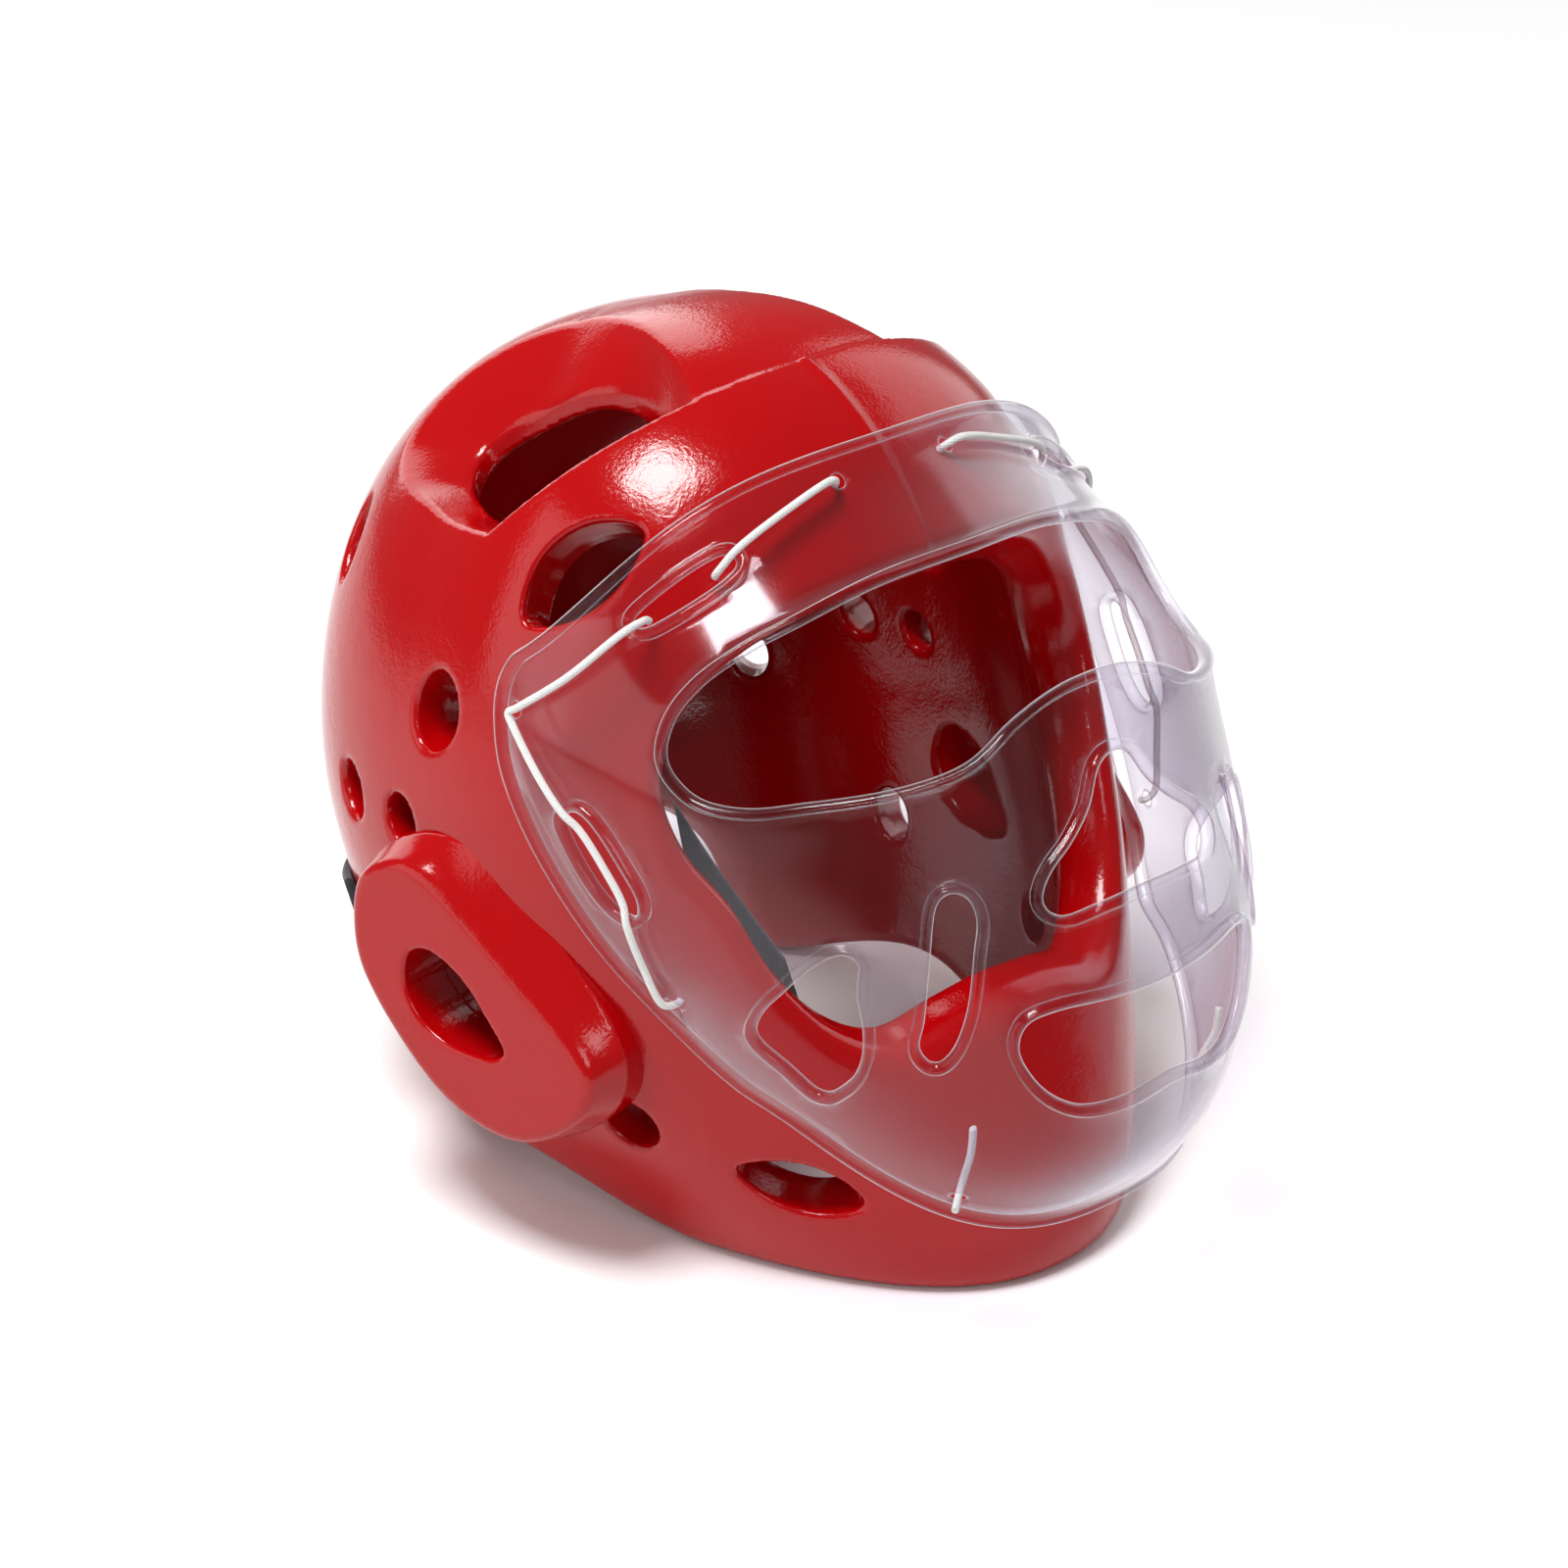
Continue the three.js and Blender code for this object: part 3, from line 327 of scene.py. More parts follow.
class Nodes:
    """Short hand for building a material's node tree."""

    def __init__(self, name: str) -> None:
        """Starts a material with one Principled shader and an output."""
        self.material = bpy.data.materials.new(name)
        self.material.use_nodes = True
        self.tree = self.material.node_tree
        self.shader = self.tree.nodes["Principled BSDF"]
        self.output = self.tree.nodes["Material Output"]

    def add(self, kind: str, **settings: object) -> bpy.types.Node:
        """Adds a node.

        Args:
            kind: Blender's name of the node type.
            settings: Properties set on the node; those with a socket's name set that socket.

        Returns:
            The node.
        """
        node = self.tree.nodes.new(kind)
        for key, value in settings.items():
            if hasattr(node, key):
                setattr(node, key, value)
            else:
                node.inputs[key.replace("_", " ")].default_value = value
        return node

    def link(self, source: Socket, target: Socket) -> None:
        """Joins two sockets."""
        self.tree.links.new(source, target)

    def surface(self, **values: object) -> None:
        """Sets sockets of the Principled shader; an underscore stands for a space."""
        for key, value in values.items():
            self.shader.inputs[key.replace("_", " ")].default_value = value

    def noise(self, scale: float, detail: float, roughness: float = 0.5) -> Socket:
        """Adds a noise over the piece's own coordinates and returns its value socket."""
        node = self.add("ShaderNodeTexNoise", Scale=scale, Detail=detail, Roughness=roughness)
        self.link(self.add("ShaderNodeTexCoord").outputs["Object"], node.inputs["Vector"])
        return node.outputs["Fac"]

    def uv(self) -> tuple[Socket, Socket]:
        """Returns the two sockets of the piece's own UV map."""
        split = self.add("ShaderNodeSeparateXYZ")
        self.link(self.add("ShaderNodeUVMap", uv_map="UVMap").outputs["UV"], split.inputs[0])
        return split.outputs[0], split.outputs[1]

    def dent(self, height: Socket, strength: float, depth: float) -> Socket:
        """Bends the Principled shader's normal by a height and returns the bent normal."""
        bump = self.add("ShaderNodeBump", Strength=strength, Distance=depth)
        self.link(height, bump.inputs["Height"])
        self.link(bump.outputs["Normal"], self.shader.inputs["Normal"])
        return bump.outputs["Normal"]

    def blend_colours(self, share: Socket, first: Colour, second: Colour) -> Socket:
        """Mixes two colours by a share and returns the result socket."""
        node = self.add("ShaderNodeMix", data_type="RGBA")
        node.inputs[6].default_value, node.inputs[7].default_value = first, second
        self.link(share, node.inputs[0])
        return node.outputs[2]

    def blend_shaders(self, share: Socket, first: Socket, second: Socket) -> Socket:
        """Mixes two shaders by a share and returns the result socket."""
        node = self.add("ShaderNodeMixShader")
        for source, target in zip((share, first, second), node.inputs):
            self.link(source, target)
        return node.outputs[0]

    def math(self, operation: str, a: object, b: object = 0.0) -> Socket:
        """Adds a math node on sockets or numbers and returns its result socket."""
        node = self.add("ShaderNodeMath", operation=operation)
        for socket, value in zip(node.inputs, (a, b)):
            if isinstance(value, Socket):
                self.link(value, socket)
            else:
                socket.default_value = value
        return node.outputs[0]


@dataclass(frozen=True)
class DippedFoam:
    """Glossy coat of dipped foam with a fine orange peel."""

    name: str = "dipped_red_foam"
    colour: Colour = (0.4, 0.0006, 0.002, 1)
    deep_colour: Colour = (0.35, 0.0004, 0.0016, 1)
    roughness: float = 0.13
    shine: float = 0.38
    tone_scale: float = 22.0
    wave_scale: float = 120.0
    peel_scale: float = 900.0
    peel_share: float = 0.5
    strength: float = 0.55
    depth: float = 0.00026

    def material(self) -> bpy.types.Material:
        """Returns the material."""
        n = Nodes(self.name)
        tone = n.blend_colours(n.noise(self.tone_scale, 3.0), self.colour, self.deep_colour)
        n.link(tone, n.shader.inputs["Base Color"])
        peel = n.math("MULTIPLY", n.noise(self.peel_scale, 2.0, 0.55), self.peel_share)
        n.dent(n.math("ADD", peel, n.noise(self.wave_scale, 2.0)), self.strength, self.depth)
        n.surface(Roughness=self.roughness, Specular_IOR_Level=self.shine)
        return n.material


@dataclass(frozen=True)
class ClearPlastic:
    """Clear moulded plastic with a faint violet cast, which gleams where it is seen edgewise.

    Seen edgewise it also gets a painted white highlight, which stands in for the light that refraction
    brings round its rims. What shows through it also darkens there, partly for the longer path through the
    plastic and partly as painted shade for the dark lines that refraction shows beside the white.
    The powers say how soon the gleam, the painted highlight and the darkening fade where the sheet faces the
    viewer.
    """

    name: str = "clear_shield_plastic"
    colour: Colour = (0.955, 0.94, 0.975, 1)
    # Colour seen through the sheet edgewise: partly the longer path through the plastic, partly painted
    # shade.
    absorbed_and_shaded_colour: Colour = (0.3, 0.27, 0.36, 1)
    gleam: Colour = (1.0, 0.985, 1.0, 1)
    roughness: float = 0.11
    least_gleam: float = 0.02
    # Share of painted white highlight on the rims, where the sheet is seen edgewise.
    painted_rim_highlight: float = 0.95
    gleam_power: float = 4.0
    painted_rim_highlight_power: float = 4.5
    darkening_power: float = 2.0
    ripple_scale: float = 30.0
    strength: float = 0.3
    depth: float = 0.0008

    def material(self) -> bpy.types.Material:
        """Returns the material."""
        n = Nodes(self.name)
        n.surface(Base_Color=self.gleam, Metallic=1.0, Roughness=self.roughness)
        normal = n.dent(n.noise(self.ripple_scale, 1.0), self.strength, self.depth)
        lit = n.math("SUBTRACT", 1.0, n.add("ShaderNodeLightPath").outputs["Is Shadow Ray"])
        facing = n.add("ShaderNodeLayerWeight", Blend=0.5)
        n.link(normal, facing.inputs["Normal"])
        powers = (self.gleam_power, self.painted_rim_highlight_power, self.darkening_power)
        gleam, white, darkening = (n.math("POWER", facing.outputs["Facing"], power) for power in powers)
        gleam = n.math("ADD", n.math("MULTIPLY", gleam, 1 - self.least_gleam), self.least_gleam)
        # Painted white highlight on the rims, strongest where the sheet is seen edgewise.
        white = n.math("MULTIPLY", white, self.painted_rim_highlight)
        passing = n.add("ShaderNodeBsdfTransparent", Color=self.colour)
        # What shows through darkens edgewise: partly the longer path through the plastic, partly painted
        # shade.
        darkened_colour = n.blend_colours(n.math("MULTIPLY", darkening, lit), self.colour, self.absorbed_and_shaded_colour)
        n.link(darkened_colour, passing.inputs["Color"])
        clear = n.blend_shaders(n.math("MULTIPLY", gleam, lit), passing.outputs[0], n.shader.outputs[0])
        # White diffuse shader that paints the highlight on the rims.
        painted_rim_highlight_shader = n.add("ShaderNodeBsdfDiffuse", Color=self.gleam)
        whole = n.blend_shaders(n.math("MULTIPLY", white, lit), clear, painted_rim_highlight_shader.outputs[0])
        n.link(whole, n.output.inputs["Surface"])
        return n.material


@dataclass(frozen=True)
class BraidedElastic:
    """White elastic cord with a fine braid that follows it; pitch counts its turns in a metre."""

    name: str = "white_elastic_cord"
    colour: Colour = (0.86, 0.85, 0.83, 1)
    roughness: float = 0.78
    sheen: float = 0.25
    strands: float = 8.0
    pitch: float = 700.0
    strength: float = 0.7
    depth: float = 0.00025

    def material(self) -> bpy.types.Material:
        """Returns the material, which reads the cord's own UV map."""
        n = Nodes(self.name)
        n.surface(Base_Color=self.colour, Roughness=self.roughness, Sheen_Weight=self.sheen)
        around, along = n.uv()
        around = n.math("MULTIPLY", around, self.strands * 2 * math.pi)
        along = n.math("MULTIPLY", along, self.pitch * 2 * math.pi)
        twists = [n.math("SINE", n.math(way, around, along)) for way in ("ADD", "SUBTRACT")]
        n.dent(n.math("MAXIMUM", *twists), self.strength, self.depth)
        return n.material


@dataclass(frozen=True)
class WovenWebbing:
    """Near-black woven webbing whose ribs run across it."""

    name: str = "black_webbing"
    colour: Colour = (0.012, 0.014, 0.022, 1)
    roughness: float = 0.82
    sheen: float = 0.3
    thread: float = 0.0011
    strength: float = 0.8
    depth: float = 0.0004

    def material(self) -> bpy.types.Material:
        """Returns the material, which reads the webbing's own UV map in metres."""
        n = Nodes(self.name)
        n.surface(Base_Color=self.colour, Roughness=self.roughness, Sheen_Weight=self.sheen)
        u, v = n.uv()
        along = n.math("SINE", n.math("MULTIPLY", u, 2 * math.pi / self.thread))
        across = n.math("SINE", n.math("MULTIPLY", v, math.pi / self.thread))
        n.dent(n.math("MULTIPLY", along, across), self.strength, self.depth)
        return n.material


@dataclass(frozen=True)
class PaleSurface:
    """Matt near-white surface under the headgear."""

    name: str = "pale_surface"
    colour: Colour = (0.93, 0.93, 0.93, 1)
    roughness: float = 0.9

    def material(self) -> bpy.types.Material:
        """Returns the material."""
        n = Nodes(self.name)
        n.surface(Base_Color=self.colour, Roughness=self.roughness)
        return n.material


class JawRow(NamedTuple):
    """Level below the widest part, and the shell's width, front and rear there as shares."""

    level: float
    width: float
    front: float
    rear: float


JAW_ROWS = tuple(map(JawRow._make, (
    (-0.33, 1.0, 1.0, 1.0), (-0.2, 1.0, 1.0, 0.988), (-0.1, 1.0, 1.0, 0.96), (0.0, 1.0, 1.0, 0.918),
    (0.24, 0.97, 1.02, 0.875), (0.48, 0.885, 1.045, 0.84), (0.73, 0.75, 1.075, 0.77), (0.9, 0.63, 1.07, 0.71),
    (1.0, 0.55, 1.02, 0.67),
)))


@dataclass
class ShellForm:
    """Smooth form that the foam follows, drawn upright in millimetres."""

    half_width: float = 107.0
    front: float = 109.0
    rear: float = 110.0
    crown: float = 141.5
    chin: float = 132.0
    squareness: float = 2.25
    dome: float = 2.17
    forehead: float = 2.75

    def __post_init__(self) -> None:
        """Reads the jaw table."""
        self.jaw = read_columns(JAW_ROWS, 0.02)

    def shares(self, z: Array) -> dict[str, Array]:
        """Width, front and rear of the form at heights, as shares of its largest, without the dome."""
        level = np.clip(-np.asarray(z, float) / self.chin, -0.33, 1.2)
        return {name: column(level) for name, column in self.jaw.items()}

    def fullness(self, x: Array, y: Array, width: Array, depth: Array) -> Array:
        """Squareness of the dome above places in plan, fuller towards the forehead."""
        across = np.abs(x / width) ** (self.squareness / 2)
        ahead = np.abs(y / depth) ** (self.squareness / 2) * -np.sign(y)
        forward = ahead / np.maximum(np.hypot(across, ahead), 1e-9)
        return self.dome + (self.forehead - self.dome) * smooth_step(forward, 0.0, 0.7)

    def skin(self, points: Array, inset: float = 0.0, rise: Array | float = 0.0) -> Array:
        """Distance of points outside the form.

        Args:
            points: Upright points.
            inset: How far the form is drawn in.
            rise: How far its front is pushed out.

        Returns:
            About the distance in millimetres, negative inside.
        """
        x, y, z = points.T
        share = self.shares(z)
        upper = z > 0
        width = (self.half_width - inset) * share["width"]
        depth = np.where(
            y < 0, (self.front - inset) * share["front"] + rise, (self.rear - inset) * share["rear"]
        )
        flat = np.abs(x / width) ** self.squareness + np.abs(y / depth) ** self.squareness
        height = np.where(upper, np.abs(z) / (self.crown - inset), 0)
        power = self.fullness(x, y, width, depth)
        out = np.where(
            upper,
            (flat ** (power / self.squareness) + height**power) ** (1 / power),
            flat ** (1 / self.squareness),
        )
        radius = np.sqrt(x * x + y * y + np.where(upper, z * z, 0))
        return radius * (1 - 1 / np.maximum(out, 1e-3))

    def front_at(self, x: Array, z: Array) -> Array:
        """Place of the front of the form along Y for places across and up."""
        share = self.shares(z)
        y = np.full(np.shape(x), -self.front)
        for _ in range(6):
            power = self.fullness(x, y, self.half_width, self.front)
            dome = np.maximum(1 - np.clip(z / self.crown, 0, 1) ** power, 0) ** (1 / power)
            room = np.maximum(1 - np.abs(x / (self.half_width * share["width"] * dome)) ** self.squareness, 0)
            y = -self.front * share["front"] * dome * room ** (1 / self.squareness)
        return y

    def side_point(self, turn: float, z: float) -> Array:
        """Point of the form on the right, a turn in degrees from the ear towards the face."""
        angle = math.radians(turn)
        forward = float(smooth_step(np.float64(math.sin(angle)), 0.0, 0.7))
        power = self.dome + (self.forehead - self.dome) * forward
        dome = max(1 - (max(z, 0) / self.crown) ** power, 0) ** (1 / power)
        share = {name: dome * float(value) for name, value in self.shares(np.float64(z)).items()}
        bend = 2 / self.squareness
        out = self.half_width * share["width"] * abs(math.cos(angle)) ** bend
        depth = self.front * share["front"] if angle > 0 else self.rear * share["rear"]
        return np.array([-out, -math.copysign(depth * abs(math.sin(angle)) ** bend, angle), z])


class FaceRow(NamedTuple):
    """Place on the rim of the face opening, as shares of its half width and of its reach up or down."""

    across: float
    up: float


FACE_ROWS = tuple(map(FaceRow._make, (
    (0, 1), (0.4, 0.98), (0.72, 0.87), (0.93, 0.66), (1, 0.42), (0.98, 0.16), (0.89, -0.12), (0.81, -0.5),
    (0.67, -0.84), (0.5, -1), (0.25, -0.95), (0, -0.92),
)))


class CrownPoint(NamedTuple):
    """Point of a crown vent's outline in plan, as shares of the vent's width and length."""

    across: float
    back: float


CROWN_RIM = tuple(map(CrownPoint._make, (
    (1.27, -0.36), (1.25, -0.22), (1.2, -0.02), (1.11, 0.22), (0.92, 0.4), (0.66, 0.38), (0.43, 0.19),
    (0.29, -0.08), (0.3, -0.35), (0.39, -0.62), (0.51, -0.87), (0.72, -0.99), (0.97, -0.9), (1.2, -0.64),
    (1.27, -0.45),
)))
CROWN_HOLE = tuple(map(CrownPoint._make, (
    (1.04, -0.25), (0.98, -0.07), (0.9, 0.07), (0.78, 0.12), (0.68, 0.07), (0.59, -0.04), (0.53, -0.21),
    (0.47, -0.4), (0.47, -0.54), (0.52, -0.68), (0.68, -0.8), (0.88, -0.73), (1.03, -0.5),
)))


class VentRow(NamedTuple):
    """Vent through the side wall: where it is, how large it is and how it leans.

    The long axis leans up from straight ahead; below and above are the half widths on its two sides.
    """

    name: str
    turn: float
    up: float
    length: float
    above: float
    below: float
    lean: float
    slant: float


VENT_ROWS = tuple(map(VentRow._make, (
    ("temple", 37.5, 0.6, 42.0, 12.5, 9.0, 28, 21), ("side", 6.0, 0.38, 24.0, 6.5, 11.5, 65, 10),
    ("upper_rear", -28.0, 0.66, 28.0, 7.5, 7.0, 96, 32), ("lower_rear", -14.6, 0.2, 19.0, 7, 7, 111, 6),
    ("above_ear", -1.5, 0.157, 17.5, 7.0, 6.0, 101, 4), ("rear", -42.0, 0.13, 20.0, 7, 7, 100, 4),
    ("behind_ear", -16.0, -0.3, 22.0, 7.0, 7.0, 105, -8), ("jaw", 20.4, -0.51, 18.5, 10, 5, -46, -18),
    ("chin", 43.0, -0.668, 38.0, 8.0, 7.5, -23, -14),
)))


class PadRow(NamedTuple):
    """Place on the edge of the ear pad's face, in millimetres, and how far its base stands out there."""

    along: float
    up: float
    flare: float


PAD_ROWS = tuple(map(PadRow._make, (
    (-1.6, -14.4, 2.4), (-0.7, -1.6, 2.4), (4.3, 9.8, 3.0), (11.2, 14.2, 3.6), (19.9, 15.6, 4.8),
    (26.5, 13.4, 7.8), (32.4, 8.4, 12.0), (53.3, -16.0, 12.0), (70.4, -36.8, 7.2), (73.3, -44.8, 4.8),
    (69.7, -53.4, 3.6), (59.4, -60.2, 3.0), (45.4, -64.0, 2.4), (33.6, -62.0, 2.4), (18.4, -52.0, 2.4),
    (5.6, -33.2, 2.4),
)))
EAR_HOLE_ROWS = (
    (17.5, -11.0), (21.6, -9.4), (26.7, -10.4), (35.3, -18.0), (41.0, -28.9), (44.4, -38.2), (39.7, -40.2),
    (31.2, -38.6), (23.2, -35.3), (16.9, -29.3), (14.0, -19.5),
)


@dataclass
class EarFrame:
    """Flat face of the right ear pad: forward runs along it, out points away from the head."""

    yaw: float = math.radians(13.0)
    reach: float = 123.0
    start: float = 12.0

    def __post_init__(self) -> None:
        """Prepares the outline of the ear hole."""
        self.opening = FlatOutline(closed_curve(np.array(EAR_HOLE_ROWS), 10), margin=1.0)

    def local(self, points: Array) -> tuple[Array, Array, Array]:
        """Reads right side points in the pad's frame.

        Args:
            points: Upright points on the right side.

        Returns:
            Their places forward, up and out.
        """
        rel = points - np.array([-self.reach, self.start, 0.0])
        forward = rel @ np.array([math.sin(self.yaw), -math.cos(self.yaw), 0.0])
        out = rel @ np.array([-math.cos(self.yaw), -math.sin(self.yaw), 0.0])
        return forward, rel[:, 2], out

    def hole(self, points: Array) -> Array:
        """Distance of points to the wall of the ear hole, negative inside the hole."""
        forward, up, _ = self.local(points)
        return self.opening.distance(forward, up)


def right_side(points: Array) -> Array:
    """Folds points onto the right side of the headgear."""
    folded = points.copy()
    folded[:, 0] = -np.abs(folded[:, 0])
    return folded


@dataclass
class FoamBody:
    """The one-piece dipped foam body with its vents and openings."""

    form: ShellForm
    ear: EarFrame
    finish: bpy.types.Material
    wall: float = 19.0
    band_rise: float = 7.0
    band_inset: float = 1.5
    band_foot: float = 34.0
    band_starts: float = 36.0
    band_full: float = 74.0
    band_rim_front: float = 76.0
    band_rim_height: float = 125.9
    band_slope: float = math.radians(32.6)
    seam_rise: float = 0.7
    seam_width: float = 1.5
    face_half_width: float = 78.0
    face_top: float = 67.0
    face_bottom: float = 55.0
    face_focus: float = 74.0
    face_rear: float = -15.0
    crown_length: float = 76.0
    crown_width: float = 65.0
    crown_bevel: float = 14.0
    crown_base: float = 60.0
    arch_rise: float = 12.7
    arch_front: float = -70.0
    arch_rear: float = 44.0
    nape_half_width: float = 52.0
    nape_top: float = 20.0
    nape_corner: float = 0.6
    nape_front: float = 12.0
    vent_taper: float = 0.12
    vent_taper_depth: float = 12.0
    vent_reach: float = 40.0
    edge: float = 6.5
    step: float = 1.25

    def __post_init__(self) -> None:
        """Prepares the outlines of the openings."""
        outline = both_sides(FACE_ROWS)
        outline[:, 1] *= np.where(outline[:, 1] > 0, self.face_top, self.face_bottom)
        outline[:, 0] *= self.face_half_width
        depth = self.face_focus - self.form.front_at(outline[:, 0], outline[:, 1])
        self.face = FlatOutline(closed_curve(outline / depth[:, None], 10))
        size = np.array([-self.crown_width, self.crown_length])
        self.crown_rim = FlatOutline(closed_curve(np.array(CROWN_RIM) * size, 10))
        self.crown_hole = FlatOutline(closed_curve(np.array(CROWN_HOLE) * size, 10))
        self.vents = [self.vent_frame(row) for row in VENT_ROWS]

    def vent_frame(self, row: VentRow) -> tuple[Array, Array, VentRow]:
        """Works out where a side vent is.

        Args:
            row: Row of the vent table.

        Returns:
            Its centre, its axes (across, along and out) as rows, and its row.
        """
        z = row.up * (self.form.crown if row.up > 0 else self.form.chin)
        centre = self.form.side_point(row.turn, z)
        turn, slant, lean = math.radians(row.turn), math.radians(row.slant), math.radians(row.lean)
        out = np.array([-math.cos(turn), -math.sin(turn), math.tan(slant)])
        out /= np.linalg.norm(out)
        ahead = np.array([-out[1], out[0], 0])
        ahead /= np.linalg.norm(ahead)
        rise = np.cross(out, ahead)
        along = ahead * math.cos(lean) + rise * math.sin(lean)
        return centre, np.stack([np.cross(out, along), along, out]), row

    @staticmethod
    def lens(across: Array, along: Array, row: VentRow) -> Array:
        """Distance to a pointed oval whose two sides are arcs through its ends."""
        half = row.length / 2
        away = []
        for width, sign in ((row.above, 1.0), (row.below, -1.0)):
            radius = (half * half + width * width) / (2 * width)
            away.append(np.hypot(along, across + sign * (radius - width)) - radius)
        return smooth_max(away[0], away[1], 3.5)

    def band_edge(self, p: Array) -> Array:
        """Distance behind the slanted plane in which the forehead band ends."""
        ahead = (p[:, 1] + self.band_rim_front) * math.sin(self.band_slope)
        return ahead + (p[:, 2] - self.band_rim_height) * math.cos(self.band_slope)

    def band(self, p: Array) -> Array:
        """Field of the raised forehead band."""
        lift = smooth_step(p[:, 2], self.band_starts, self.band_full)
        skin = self.form.skin(p, self.band_inset, (self.band_rise + self.band_inset) * lift)
        skin = skin - self.seam_rise * lift * np.exp(-((p[:, 0] / self.seam_width) ** 2))
        return smooth_max(smooth_max(skin, self.band_edge(p), 0.5), self.band_foot - p[:, 2], 2.0)

    def face_cut(self, p: Array) -> Array:
        """Field of the face opening."""
        depth = np.maximum(self.face_focus - p[:, 1], 1.0)
        cut = self.face.distance(p[:, 0] / depth, p[:, 2] / depth) * depth
        return np.maximum(cut, p[:, 1] - self.face_rear)

    def crown_cut(self, p: Array, outside: Array) -> tuple[Array, Array]:
        """Fields of the crown vent's bevel and of its hole, which both end at the forehead band."""
        rim = self.crown_rim.distance(p[:, 0], p[:, 1])
        hole = self.crown_hole.distance(p[:, 0], p[:, 1])
        inward = np.maximum(-rim, 0)
        share = inward / np.maximum(inward + np.maximum(hole, 0), 1e-6)
        depth = self.crown_bevel * share
        end = np.maximum(self.crown_base - p[:, 2], -self.band_edge(p))
        return np.maximum(np.maximum(rim, -(outside + depth)), end), np.maximum(hole, end)

    def rim_level(self, p: Array) -> Array:
        """Field of what lies under the lower rim."""
        s = np.clip((STANCE.along(p) - self.arch_front) / (self.arch_rear - self.arch_front), 0, 1)
        return STANCE.level(p) - self.arch_rise * np.sin(math.pi * s) ** 1.5

    def nape_cut(self, p: Array) -> Array:
        """Field of the arch at the nape."""
        corner = self.nape_corner * self.nape_half_width
        dx = np.abs(p[:, 0]) - (self.nape_half_width - corner)
        dz = p[:, 2] + self.nape_top + corner
        outer = np.hypot(np.maximum(dx, 0), np.maximum(dz, 0)) - corner
        inner = np.minimum(np.maximum(dx, dz), 0)
        return np.maximum(outer + inner, self.nape_front - p[:, 1])

    def value(self, points: Array) -> Array:
        """Field of the foam body, negative in the foam."""
        p = right_side(points)
        outside = self.form.skin(p)
        body = smooth_min(outside, self.band(p), 1.0)
        body = smooth_max(body, -self.form.skin(p, self.wall), 2.5)
        bevel, hole = self.crown_cut(p, outside)
        body = smooth_max(body, -bevel, 0.9)
        body = smooth_max(body, -hole, 1.2)
        body = smooth_max(body, -self.face_cut(p), self.edge + 1.5)
        for centre, axes, row in self.vents:
            local = (p - centre) @ axes.T
            depth = np.clip(-local[:, 2], 0, self.vent_taper_depth)
            vent = self.lens(local[:, 0], local[:, 1], row) + self.vent_taper * depth
            body = smooth_max(body, -np.maximum(vent, np.abs(local[:, 2]) - self.vent_reach), 1.8)
        body = smooth_max(body, -np.maximum(self.ear.hole(p), p[:, 0] + 60), 2.0)
        body = smooth_max(body, -self.nape_cut(p), self.edge)
        return smooth_max(body, -self.rim_level(p), 5.0)

    def build(self) -> bpy.types.Object:
        """Builds and dresses the foam body.

        Returns:
            The foam body.
        """
        step = self.step
        points, faces = mesh_from_field(self.value, (-112, -122, -136), (0, 122, 152), step, True)
        piece = make_piece("foam_body", points, faces)
        piece.data.materials.append(self.finish)
        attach(piece, "root")
        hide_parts("foam_shell")
        return piece


@dataclass
class EarPad:
    """Raised teardrop pad over one ear, with its ear hole."""

    form: ShellForm
    ear: EarFrame
    finish: bpy.types.Material
    side: Side
    edge: float = 2.6
    flare_depth: float = 10.0
    sunk: float = 2.5
    step: float = 0.9

    def __post_init__(self) -> None:
        """Prepares the outlines of the pad's face and of its wider base."""
        rows = closed_curve(np.array(PAD_ROWS), 8)
        along = np.roll(rows, -1, axis=0)[:, :2] - np.roll(rows, 1, axis=0)[:, :2]
        outward = np.stack([-along[:, 1], along[:, 0]], 1) / np.linalg.norm(along, axis=1, keepdims=True)
        self.face = FlatOutline(rows[:, :2], margin=0.5)
        self.base = FlatOutline(rows[:, :2] + outward * rows[:, 2:], margin=0.5)

    def value(self, points: Array) -> Array:
        """Field of the pad, negative in the foam."""
        p = right_side(points)
        forward, up, out = self.ear.local(p)
        share = np.clip(-out / self.flare_depth, 0, 1) ** 1.3
        outline = self.face.distance(forward, up) * (1 - share) + self.base.distance(forward, up) * share
        pad = smooth_max(0.85 * outline, out, self.edge)
        pad = smooth_max(pad, -self.ear.hole(p), 1.6)
        return np.maximum(pad, -self.sunk - self.form.skin(p))

    def build(self) -> bpy.types.Object:
        """Builds and dresses the pad.

        Returns:
            The ear pad.
        """
        step = self.step
        points, faces = mesh_from_field(self.value, (-126, -76, -76), (-82, 26, 30), step, False)
        if self.side is Side.LEFT:
            points, faces = points * [-1, 1, 1], faces[:, ::-1]
        name = self.side.name.lower()
        piece = make_piece(f"ear_cushion_{name}", points, faces)
        piece.data.materials.append(self.finish)
        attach(piece, "root")
        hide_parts(f"ear_pad_{name}")
        return piece


class ShieldRow(NamedTuple):
    """One bowed row of the shield, from its top edge (0) down to its bottom edge (1)."""

    down: float
    side_across: float
    side_reach: float
    side_drop: float
    mid_reach: float
    mid_drop: float
    drape: float
    bow: float


